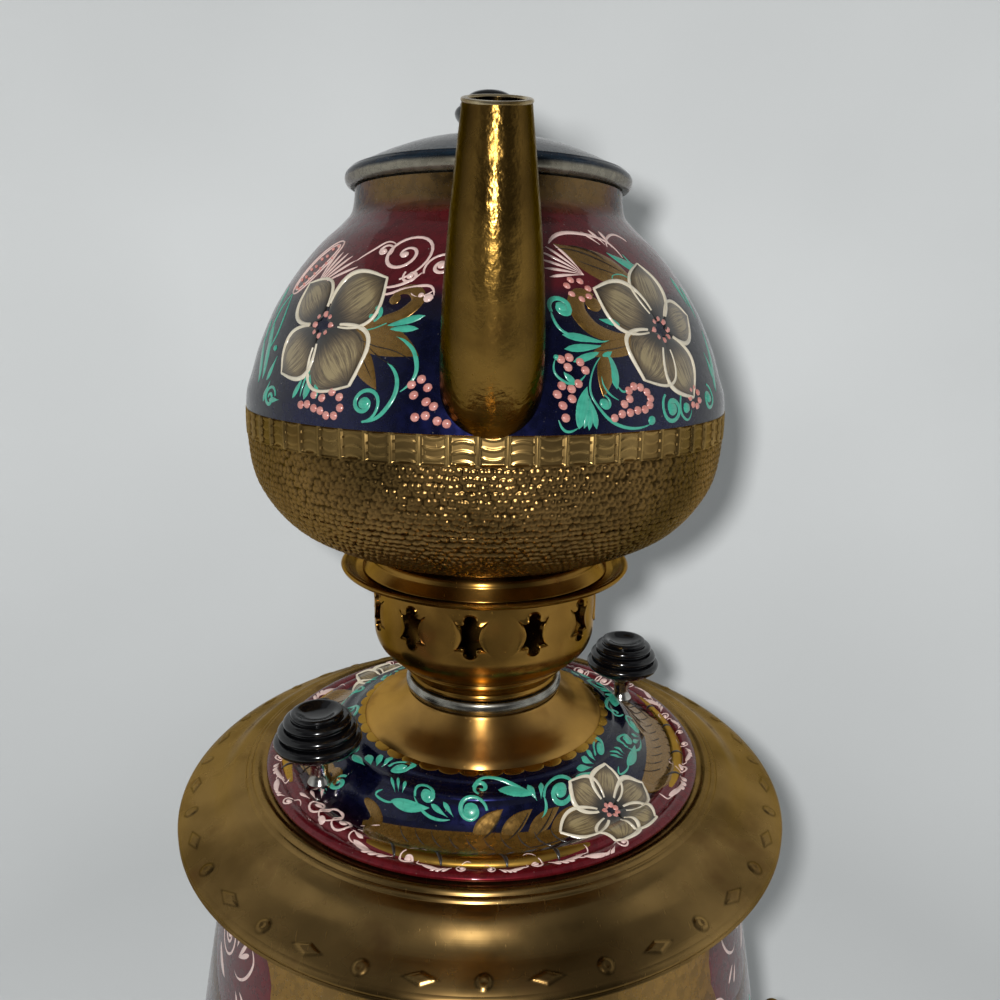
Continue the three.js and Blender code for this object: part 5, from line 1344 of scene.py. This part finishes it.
# Painting: flowers, leaves, curls and berries in enamel, in the common folk manner, own layout.
# Each paint has its finish and the section of its strokes
wideSection = np.vstack([np.stack([np.linspace(-1, 1, 15), 1 - 0.9 * np.linspace(-1, 1, 15) ** 8], axis=1),
                         [(0, -0.9)]])
paints = {
    "Gilt": (spunBrass("giltLacquer", "#bd9344", "#8f6c2d", "#84542a", (0.24, 0.36), 0.3), wideSection),
    "Maroon": (maroonLacquer, wideSection),
    "Amber": (brushedEnamel("amberLacquer", "#8d6a30", "#5f421a", 0.3, 0.26, 0.75), petalSection),
    "Vein": (brushedEnamel("darkVeinEnamel", "#170d07", "#2a180c"), strokeSection),
    "Petal": (petalEnamel(), petalSection),
    "Turquoise": (brushedEnamel("turquoiseEnamel", "#45b296", "#2a8875", 0.5), strokeSection),
    "Cream": (brushedEnamel("creamEnamel", "#e6dcc6", "#c6b898", 0.4), strokeSection),
    "Blush": (brushedEnamel("blushWhiteEnamel", "#eccfc6", "#d2a59b", 0.4), strokeSection),
    "Berry": (brushedEnamel("salmonBerryEnamel", "#dd9d92", "#b85f55", 0.7), strokeSection),
}


# a full flower: petals given by angle, length and width, cream edges and a ring of berries
def flower(petals, ring=2.6, berry=0.85, number=8, heavy=0.62):
    strokes = {"Petal": [], "Cream": [], "Berry": berryRing(0, 0, ring, number, berry)}
    for angle, length, width in petals:
        strokes["Petal"].append(petal(angle, length, width))
        strokes["Cream"] += petalEdges(angle, length, width, heavy)
    return strokes


# one paint's strokes joined with another set
def joined(*sets):
    result = {}
    for strokes in sets:
        for paint, paths in strokes.items():
            result.setdefault(paint, []).extend(paths)
    return result


# sets every stroke at an anchor, mirrored (side -1) or scaled as asked
def placed(strokes, azimuth, arc, side=1, scale=1.0):
    size = np.array([side * scale, scale, scale, 1.0])
    return {paint: [(azimuth, arc, path * size) for path in paths] for paint, paths in strokes.items()}


# one piece for each colour laid on a body
def paintOn(prefix, line, sets, body):
    for paint, strokes in joined(*sets).items():
        finish, shape = paints[paint]
        makePiece(prefix + paint, strokeShells(line, strokes, shape), body, finish, sharp=50)


# the bunch to the left of the spout; x runs towards the spout and y up from the flower's heart
def leftBunch():
    bloom = flower([(42, 17.5, 10.2), (137, 15.5, 8.0), (228, 16.0, 8.6), (312, 18.0, 11.4)])
    leaves = {
        "Amber": [
            blade(9, -1.6, -16, 18.5, 3.7, -22), blade(11, -3.5, -52, 13, 2.4, 10),
            vine([(10.4, 0), (16, 1.4), (20.8, 3.4), (22.6, 6.4), (20.4, 8.8), (17.4, 8.2), (16.6, 6.4)],
                 1.6, 0.6, 30),
            dot(17.2, 6.4, 1.3, 11, 0.16)],
        "Vein": [
            vine([(10, -2.2), (16, -4.4), (21, -5.4), (26, -7.6)], 0.16, thick=0.3),
            vine([(14, -4), (19, -7.4), (22.6, -8.8)], 0.14, thick=0.3),
            vine([(12, -4.8), (14.8, -8.2), (17.6, -12)], 0.14, thick=0.3)],
        "Turquoise": [
            scroll(13.4, 3, 2, -70, 1.25, 0.7), vine([(10.5, -0.9), (14.5, -0.6), (17.6, 1)], 0.34),
            drop(15.5, -0.6, 18, 10.5, 0.95), drop(15.5, -1.1, 4, 9.5, 0.85, -10),
            vine([(14, -1.6), (20, -2), (25.6, -5.6), (27, -10.2), (24.4, -14)], 0.52, 0.6, 26),
            scroll(16.8, -16.8, 4, 270, 1.6, 0.5, 36), dot(16.8, -16.8, 1.4, 9),
            vine([(20, -7.8), (23, -11), (23.2, -15.6), (20.4, -19.6), (16.6, -20.8)], 0.55, 0.5, 30),
            drop(0.6, -9.6, -96, 7.6, 1.15), vine([(0.8, -9.8), (-1.4, -13), (-1.6, -16.6)], 0.3),
            drop(1.6, -10.4, -72, 6.6, 0.8), drop(-2, -11.6, -112, 6, 0.8),
            blade(-21.5, -14, 104, 15.5, 1.5, 30), blade(-24, -15, 120, 13, 1.3, 36),
            vine([(-19.5, 8), (-23, 4), (-24.6, -2), (-22, -7)], 0.34),
            vine([(-19.5, 8), (-18.4, 2), (-19.6, -4), (-22, -7)], 0.34),
            drop(-15, -8, 240, 7, 0.9), drop(-16, -14, 250, 5.4, 0.8), dot(-17.4, -6.2, 0.8),
            scroll(-14.4, -17.8, 2.9, 10, 1.5, 0.5), drop(-9.5, -18, 185, 5, 0.7),
            drop(-26.5, 2, 96, 8.5, 1.2), drop(-28, -6, 100, 7, 1)],
        "Blush": [
            scroll(14.2, 18.2, 7, -75, 1.75, 0.46, 44), dot(14.1, 18.2, 0.95, 9),
            vine([(9, 10.8), (13, 9.4), (17.6, 10.4), (20.6, 13.2)], 0.42, 0.7),
            scroll(18.4, 12.4, 2, 150, 1.2, 0.42, 22), dot(18.2, 12.3, 0.8, 9),
            scroll(24.2, 15.2, 3.9, 215, -1.5, 0.44, 32), dot(24.2, 15.3, 1.1, 9),
            vine([(9.4, 9.4), (14, 7.6), (19, 9.2), (24.5, 9.4), (25.6, 7.4)], 0.44, 0.6),
            dot(24.6, 6.8, 1.1, 9), dot(22.8, 7.4, 0.7, 7), vine([(19.4, 9), (22.5, 7), (25, 8.6)], 0.36),
            scroll(8.4, 19.4, 2.3, -30, 1.15, 0.36, 22), dot(8.2, 19.4, 0.7, 7),
            vine([(1.6, 16.6), (5, 19.8), (8, 22.2), (10.8, 21)], 0.3)]
            + [drop(-8.4, 9.2, 26 + 11 * i, 13 - 0.5 * i, 0.42, -8) for i in range(6)],
    }
    # a pod of two thin ovals, leaning to the right, with rows of small berries
    a = np.linspace(0, fullTurn, 27)
    for wide, tall in ((9.6, 3.7), (8.3, 2.7)):
        x, y = np.cos(a) * wide, np.sin(a) * tall
        px, py = -13.4 + x * 0.64 - y * 0.77, 15.6 + x * 0.77 + y * 0.64
        leaves["Blush"].append(np.stack([px, py, np.full(len(a), 0.22), np.full(len(a), 0.2)], 1))
    leaves["Berry"] = [dot(-13.4 + 1.25 * i - 0.6 * (i % 2), 15.6 + 1.5 * i + 0.7 * (i % 2), 0.52)
                       for i in range(-4, 5)]
    leaves["Berry"] += [dot(-12 + 1.4 * i, 13.4 + 1.45 * i, 0.46) for i in range(-3, 4)]
    leaves["Berry"] += [dot(x, y, 1, 9, 0.5) for x, y in (
        (-0.9, -18.4), (1.2, -18.1), (3.4, -18.8), (5.4, -19.2), (7.2, -20.1), (9.4, -20), (10.9, -18.2),
        (10.2, -15.9), (7.9, -14.9), (5.4, -16.4), (2.8, -15.9),
        (26.6, -12.4), (28.5, -11.2), (30.2, -12.9), (27.6, -14.6), (30.6, -15.9), (32.4, -16.8), (31, -18.8),
        (33.6, -19.8), (35.6, -20.3), (28.8, -19.2))]
    return joined(leaves, bloom)


# the bunch to the right of the spout, drawn on the same plan: x runs towards the spout
def rightBunch():
    bloom = flower([(32, 18.5, 8.6), (96, 17.5, 7.6), (167, 15.0, 7.0), (-112, 17.5, 8.2), (-50, 15.0, 10.2)])
    leaves = {
        "Amber": [
            blade(3, 13, 30, 19, 4.6, 26), blade(18.6, -4.8, -74, 10.5, 2.1, 10),
            vine([(9, -1), (15, -1.6), (20.4, 0.8), (22, 5), (19.6, 8.6), (16.6, 8.2)], 2.1, 0.62, 24),
            blade(8, -3, -12, 15, 2.3, -12), dot(17.6, 6, 1.9, 11, 0.16)],
        "Vein": [
            vine([(5, 14.4), (10, 17.6), (15, 20), (20, 20.6)], 0.2, thick=0.34),
            vine([(7, 13.8), (11, 15), (16, 17.2)], 0.16, thick=0.34),
            vine([(8, 17.4), (12, 20.6), (16, 21.6)], 0.16, thick=0.34),
            vine([(11, -3.4), (16, -4.4), (21, -4.8)], 0.14, thick=0.3)],
        "Blush": [drop(16.4, 13.4, -6 + 15 * i, 9.8 - 0.4 * abs(i - 3), 0.42, -12) for i in range(6)] + [
            vine([(2, 19), (4, 23.6), (10, 25.8), (16, 25.4), (20.6, 22)], 0.62, 0.6, 26),
            vine([(-4, 24.6), (-1, 26.6), (3, 25), (5, 22)], 0.4),
            drop(3.5, 22, 84, 5.4, 0.5), drop(5.2, 22.6, 68, 5.2, 0.5), drop(6.8, 22.6, 52, 5, 0.45)],
        "Turquoise": [
            blade(-4, 14.4, 30, 12, 1.5, 20), vine([(-3, 14), (0, 17), (1.4, 20)], 0.3),
            vine([(2.6, 11), (5.6, 13.8), (9, 13.2), (9.2, 10.6)], 0.5, 0.6),
            scroll(25.4, 5, 2.9, -20, 1.35, 0.72), dot(25.4, 5.2, 1.3, 9),
            vine([(28.2, 4), (27.6, 0.2), (23, -2.2), (16, -2.4)], 0.4, 0.3, 24),
            drop(17, -3, 10, 10.6, 1), drop(17, -3.6, -4, 11, 0.95), drop(17, -4.2, -17, 10.2, 0.85),
            drop(14.4, -4, -22, 6, 0.8), blade(11, 1.6, 8, 6.6, 0.9, 20),
            vine([(16.6, -4.2), (22.6, -9), (24.2, -14), (21.2, -19.4), (15, -21.8), (9.8, -21.2)], 0.4,
                 0.7, 36),
            dot(9.4, -20.4, 1.1, 9), blade(17.6, -13.2, 84, 8.8, 1.3, -14),
            vine([(20.4, -8.4), (20.6, -12.8), (17.8, -15.6)], 0.32),
            vine([(17.2, -12.6), (15.8, -13.8), (14.8, -13)], 0.28),
            dot(21.6, -16.2, 1.2, 9), scroll(21.6, -16.2, 1.9, 100, 0.9, 0.34, 18),
            blade(28.2, -21.4, 112, 9.6, 1.6, 16), vine([(28.4, -21.2), (31, -21.8), (32.6, -19.4)], 0.32),
            drop(25, -14, -97, 7.6, 0.8), drop(24.8, -14.4, -82, 7.4, 0.75), drop(24.4, -14.8, -68, 7, 0.7),
            scroll(2.2, -18.2, 3.7, 60, -1.6, 0.6, 34), dot(2.4, -18.3, 1.6, 9),
            dot(-3, -18.4, 1.3, 9), vine([(-5.2, -19), (-3.6, -21.2), (-1.2, -20), (-2.6, -14)], 0.36),
            blade(-5.6, -17, 72, 9.5, 1.4, 20),
            vine([(30.6, -6.6), (31.4, -9.4), (28.6, -11.8), (24.4, -9.8)], 0.34), dot(30.2, -6.2, 0.7),
            blade(27.2, -11.6, 48, 3.2, 0.8),
            scroll(-15, -17, 3.4, 100, 1.4, 0.5), dot(-15, -17, 1.2, 9),
            blade(-22, -16, 98, 16, 1.5, -30), drop(-19, -6, 240, 8, 1),
            drop(-20, 6, 70, 9, 1.1), drop(-22.6, 3, 84, 9, 1.1)],
    }
    leaves["Berry"] = berryRing(19.6, 9.6, 2.5, 7, 0.85, 20)
    leaves["Berry"] += [dot(x, y, 1, 9, 0.5) for x, y in (
        (28.2, -8.3), (29.4, -6.6), (27.4, -6.2), (25.2, -7.2), (24.4, -9),
        (30.4, -12.2), (28.4, -12.9), (26.6, -11.8), (31.8, -14), (28.8, -15), (31.2, -16.4), (31, -19),
        (19.6, -19.4), (17.6, -18.6), (15.4, -18.4), (13.3, -18), (16.6, -16.5),
        (11.2, -17.9), (9.6, -17), (9, -15.6), (9.6, -14.1), (11.2, -13), (13, -12.7), (14.6, -13.6),
        (14.9, -15.4))]
    leaves["Berry"] += berryRing(-7.4, -16.2, 2.2, 7, 0.85)
    return joined(leaves, bloom)


def paintTeapot():
    line = shoulderLine + (0, teapotSizes["floor"])
    left, right = leftBunch(), rightBunch()
    heart = 22.6  # mm from the band up to the flowers' hearts
    sets = [placed(bunch, azimuth, heart, side) for bunch, azimuth, side in (
        (left, -42.5, 1), (right, 38.0, -1), (left, 118.0, 1), (right, -122.0, -1))]
    paintOn("teapotPaint", line, sets, "teapot")


# how far from the lid's axis its ornaments lie
lidPaintRadii = {"scallops": 36.8, "curls": 47.6, "bloom": 52.4, "spray": 54.6}


# scallops round the gilt neck, curls and leaves on the bowl, flourishes on the maroon edge
def paintLid():
    r = lidPaintRadii
    edge = lidLines["Edge"]
    line = np.vstack([edge[edge[:, 0] < 64.8][2:], lidLines["Roll"][1:], lidLines["Bowl"][1:]])
    line = line[np.concatenate([[True], np.linalg.norm(np.diff(line, axis=0), axis=1) > 1e-4])]
    reach = arcLengths(line)
    at = lambda radius: np.interp(-radius, -line[:, 0], reach)
    count = lidSizes["scallops"]
    scallop = dot(0, 0, 3.1, 15, 0.16)
    scallop[:, 2] *= 0.55
    sets = [placed({"Gilt": [scallop]}, 360 / count * i, at(r["scallops"])) for i in range(count)]
    bloom = flower([(0, 16.8, 6.4), (58, 12.8, 7.0), (122, 13.2, 6.6), (181, 17.2, 6.0), (238, 13.0, 7.4),
                    (304, 13, 7.4)], 1.9, 0.95, 7, 0.8)
    ribs = [4.4 * i for i in range(-4, 6)]
    spray = {
        "Gilt": [vine([(-30, -5.6), (-10, -5.2), (10, -5.2), (28, -5.6)], 2.3, 0.5, 60, 0.12)],
        "Amber": [vine([(-34, 6), (-29, 3.4), (-30, -1.5), (-24, -3), (-10, -2)], 2.4, 0.4, 40),
                  vine([(-33, 0.6), (-22, 0.4), (-6, 0.4), (10, 0.6), (25, 1.6)], 4.3, 0.5, 60)]
        + [blade(x, 2.6, turn, 10.5, 2.3, -24, 16) for x, turn in ((-2, 44), (5, 38), (12, 32), (18, 24))]
        + [vine([(26, 0), (30, 3), (28.4, 7), (25.2, 6)], 1.9, 0.6, 24)],
        "Vein": [vine([(-26, -1.4), (-8, -1.6), (10, -1.2), (28, 0.6)], 0.3, thick=0.34)]
        + [vine([(x, -1.5), (x - 2.6, 0.6), (x - 4.2, 3.8)], 0.24, thick=0.34) for x in ribs]
        + [vine([(x + 1, -1.5), (x - 1.4, -2.8), (x - 3, -3.8)], 0.22, thick=0.34) for x in ribs]
        + [vine([(x, 1.8), (x + 3.6, 5), (x + 6, 8.6)], 0.3, thick=0.34) for x in (-1, 6, 13)]
        + [vine([(x, -2.8), (x + 1.6, -4.8), (x + 2.2, -7.6)], 0.6, thick=0.3) for x in (-24, -12, 4, 17)],
    }
    curls = {
        "Turquoise": [
            blade(-23, 0, 4, 9.5, 1.35, 14), vine([(-25.5, 1.4), (-27.4, 0), (-24.4, -0.6), (-22, 0)], 0.3),
            drop(-22, 1.8, 118, 3.2, 0.5), drop(-21.2, 2.2, 98, 3.2, 0.5), drop(-20.2, 2.2, 76, 3, 0.5),
            scroll(-14.4, 3.2, 2.8, 200, -1.3, 0.5), vine([(-17.2, 2.2), (-15, -0.4), (-9, -1.2)], 0.4),
            drop(-9.4, -0.8, 150, 4.4, 0.7), drop(-8.2, -0.6, 128, 3.6, 0.6), dot(-14.2, 3.2, 1.3, 9),
            scroll(-4.4, 1, 3.4, 0, 1.4, 0.55, 34), dot(-4.4, 1, 1.7, 9),
            scroll(-2, 6.4, 1.9, 250, -1.1, 0.5),
            vine([(-4, 6.6), (-1.6, 8.8), (4.4, 7.2), (9.6, 2.6)], 0.5, 0.4),
            blade(1.6, 5.8, -18, 8.2, 1.6, -14), drop(10, 2, 112, 4.6, 0.8), drop(11, 2.2, 84, 4, 0.7),
            scroll(16, 2.8, 4.3, 185, -1.7, 0.6, 40), dot(16, 2.8, 1.5, 9),
            vine([(11.7, 2.6), (11.8, -0.6), (9, -2.2)], 0.4),
            drop(25.6, 4, 178, 5.8, 1.05), drop(26, 5, 160, 5, 0.9), drop(26.8, 5.6, 140, 4.4, 0.8),
            drop(27.8, 6, 120, 3.8, 0.7), scroll(31, 7.8, 2.6, 200, -1.4, 0.6), dot(31, 7.8, 1.1, 9),
            scroll(24.6, -2.6, 2.3, 90, 1.4, 0.6), drop(25, -5.6, 170, 4.2, 0.6),
            drop(26, -6.2, 188, 4.4, 0.6)],
    }
    flourish = {
        "Blush": [
            blade(-7.6, 0.4, -12, 6.4, 0.95, 30), vine([(-8.4, 2.4), (-9, 0.6), (-7, -0.2)], 0.2),
            drop(-1.6, -0.8, 206, 3, 0.5), drop(0.2, -0.4, 212, 3.4, 0.55), drop(2, 0, 216, 3.4, 0.55),
            scroll(5, 0, 1.9, 120, 1.3, 0.3), dot(5, 0, 0.7, 9),
            vine([(4.2, 1.8), (6.6, 3.2), (8, 2.4)], 0.2)],
    }
    spiral = {
        "Blush": [
            scroll(0, 0.6, 2.5, 40, -1.4, 0.26), dot(0, 0.6, 0.7, 9),
            vine([(1.8, 2.1), (4.6, 2.6), (5.8, 0.2), (3.8, -1.4)], 0.24),
            dot(3.6, -1.2, 0.7, 9), drop(-2.2, 2.4, 150, 3.4, 0.4), drop(-2.6, 1.4, 172, 3.2, 0.4),
            drop(-2.6, 0.2, 196, 3, 0.4)],
    }
    for quarter in range(4):
        turn = 90 * quarter
        sets.append(placed(spray, turn - 4, at(r["spray"])))
        sets.append(placed(curls, turn - 1, at(r["curls"]), scale=1.2))
        # the two large spirals stand where the other quarters have their flower
        large = ((spiral, -53, 58.6, 1, 1.5), (spiral, -42, 58.8, -1, 1.55)) if quarter % 2 == 0 else ()
        for strokes, azimuth, radius, side, scale in large + (
                (flourish, -27, 61, 1, 1.25), (flourish, -12, 62.4, 1, 0.8), (flourish, 1, 62.6, -1, 0.65),
                (flourish, 13, 61.6, -1, 1), (flourish, 26, 63.2, 1, 0.95)):
            sets.append(placed(strokes, turn + azimuth, at(radius), side, scale=scale))
    for azimuth in (36, 216):
        sets.append(placed(bloom, azimuth + 1, at(r["bloom"])))
    paintOn("lidPaint", line, sets, "lid")


# large bunches round the belly of the vessel, with curls under the mouth
def paintBody():
    arcs = arcLengths(bodyLine)
    heights = np.array(bodySizes["paintHeights"]) + bodySizes["floor"]
    bunchArc, garlandArc = np.interp(heights, bodyLine[:, 1], arcs)
    left, right = leftBunch(), rightBunch()
    ground = dot(0, -3, 21, 31, 0.1)
    ground[:, 2] *= 0.72
    garland = {
        "Maroon": [ground],
        "Blush": [
            scroll(-6, 1, 6.2, 200, 1.7, 0.6, 44), dot(-6, 1, 1.3, 9),
            vine([(-1, -3), (4, -5), (9, -1.6), (10.4, 3.6), (7.6, 6.2)], 0.6, 0.6, 30),
            drop(1, -1.6, 38, 9, 0.9), drop(1.4, -2.4, 62, 9.4, 0.9), drop(0.4, -1, 86, 8.6, 0.85),
            blade(-13, -6, -24, 12, 1.7, 40), dot(-14.6, 4.6, 0.9), dot(-14, 7, 0.75),
            drop(5, -6.4, -30, 7.6, 0.8), drop(3.4, -7.2, -52, 7, 0.75)],
    }
    sets = []
    for i in range(4):
        bunch = left if i % 2 == 0 else right
        side = 1 if i % 2 == 0 else -1
        sets.append(placed(bunch, -45 + 90 * i, bunchArc, side, scale=1.5))
    for azimuth, side in ((60, -1), (120, 1), (-60, 1), (-120, -1), (180, 1)):
        sets.append(placed(garland, azimuth, garlandArc, side))
    paintOn("bodyPaint", bodyLine, sets, "body")


paintTeapot()
paintLid()
paintBody()
print("painting done")

# Nodes that keep their own shape get the finish of what they are made of
nodeFinishes = {
    "nickel": nickel, "steel": steel, "rubber": rubber, "brass": brass, "black_plastic": phenolic,
    "painted_brass": brass, "painted_lid": brass,
}


def finishNodes():
    slotOf = {entry["node"]: entry["material_slot"] for entry in frame["record"]["subparts"]}
    for name, node in frame["nodes"].items():
        finish = sheath if name == "heater_tube" else nodeFinishes.get(slotOf.get(name), steel)
        node.data.materials.clear()
        node.data.materials.append(finish)


finishNodes()
print("nodes finished")

# The stage: a pale room whose wall curves down into the floor, its front side painted mid grey as painted
# shade for an unlit room, one small lamp beside the camera that reaches the wall as strongly as the object,
# and a soft grey sky
stageSizes = {
    "radius": 960.0,
    "cove": 520.0,
    "height": 1500.0,
    "wall": ("#c2c4c4", "#babcbc"),
    "front": "#48494b",
    "sky": "#e8eaec",
    "skyLight": 0.24,
    "lamp": (-27.0, -232.0, 462.0),  # a little left of and above the camera
    "lampSize": 5.0,
    "lampLight": 32.0,  # watts, the same at every distance
}
# the camera's place and lens in mm, its turns in degrees
viewSizes = {
    "place": (-15.9, -227.4, 454.8),
    "down": 13.18,
    "right": 4.93,
    "roll": 0.29,
    "lens": 28.8,
}


# plain painted plaster: one pale colour, faintly uneven; on the far front wall behind the camera it goes to
# mid grey, a painted shade that stands for the unlit side of the room that the metal reflects
def plasterFinish():
    s = stageSizes
    f = Finish("paintedPlaster")
    depth = f.add("SeparateXYZ", {0: f.place}).outputs["Y"]
    tone = f.ramp(f.noise(2.0), (0.3, s["wall"][1]), (0.7, s["wall"][0]))
    return f.shade({
        # painted shade: mid grey on the front wall, for the unlit room that the metal reflects
        "Base Color": f.mix(f.spread(depth, -0.4, -0.75, 0.0, 1.0), tone, s["front"]),
        "Roughness": 0.9,
        "Specular IOR Level": 0.2,
    })


def makeStage():
    s = stageSizes
    flat, cove = s["radius"] - s["cove"], s["cove"]
    turn = np.linspace(0, math.pi / 2, 40)[1:-1]
    arc = np.stack([flat + cove * np.sin(turn), cove * (1 - np.cos(turn))], axis=1)
    line = np.vstack([[(0, 0), (flat * 0.5, 0), (flat, 0)], arc,
                      [(s["radius"], cove), (s["radius"], s["height"])]])
    shell = spun(line, 128)
    mesh = bpy.data.meshes.new("plainRoom")
    faces = shell["quads"].tolist() + shell["triangles"].tolist()
    mesh.from_pydata(shell["points"] * metre, [], faces)
    mesh.materials.append(plasterFinish())
    mesh.shade_smooth()
    room = bpy.data.objects.new("plainRoom", mesh)
    bpy.context.scene.collection.objects.link(room)

    world = bpy.data.worlds.new("softSky")
    world.use_nodes = True
    sky = world.node_tree.nodes["Background"]
    sky.inputs["Color"].default_value = linear(s["sky"])
    sky.inputs["Strength"].default_value = s["skyLight"]
    bpy.context.scene.world = world

    lamp = bpy.data.lights.new("lampBesideCamera", "POINT")
    lamp.energy = s["lampLight"]
    lamp.shadow_soft_size = s["lampSize"] * metre
    lamp.use_nodes = True
    tree = lamp.node_tree
    fall = addNode(tree, "LightFalloff", {"Strength": 1.0})
    tree.links.new(fall.outputs["Constant"], tree.nodes["Emission"].inputs["Strength"])
    lampObject = bpy.data.objects.new("lampBesideCamera", lamp)
    lampObject.location = [value * metre for value in s["lamp"]]
    bpy.context.scene.collection.objects.link(lampObject)


# two axes square to each other, turned in their plane, the first towards the second
def turnedPair(first, second, angle):
    cosine, sine = math.cos(angle), math.sin(angle)
    return first * cosine + second * sine, second * cosine - first * sine


# the camera's axes: ahead tilted down, turned to the right, then rolled
def makeCamera():
    v = viewSizes
    right, ahead, below = np.array([[1.0, 0, 0], [0, 1.0, 0], [0, 0, -1.0]])
    ahead, below = turnedPair(ahead, below, math.radians(v["down"]))
    ahead, right = turnedPair(ahead, right, math.radians(v["right"]))
    right, below = turnedPair(right, below, math.radians(v["roll"]))
    camera = bpy.data.cameras.new("camera")
    camera.lens = v["lens"]
    camera.clip_start = 0.01
    cameraObject = bpy.data.objects.new("camera", camera)
    turned = Matrix([list(right), list(-below), list(-ahead)]).transposed().to_4x4()
    cameraObject.matrix_world = Matrix.Translation([value * metre for value in v["place"]]) @ turned
    bpy.context.scene.collection.objects.link(cameraObject)
    bpy.context.scene.camera = cameraObject
    bpy.context.scene.view_settings.view_transform = "Standard"


makeStage()
makeCamera()
print("stage and camera made")
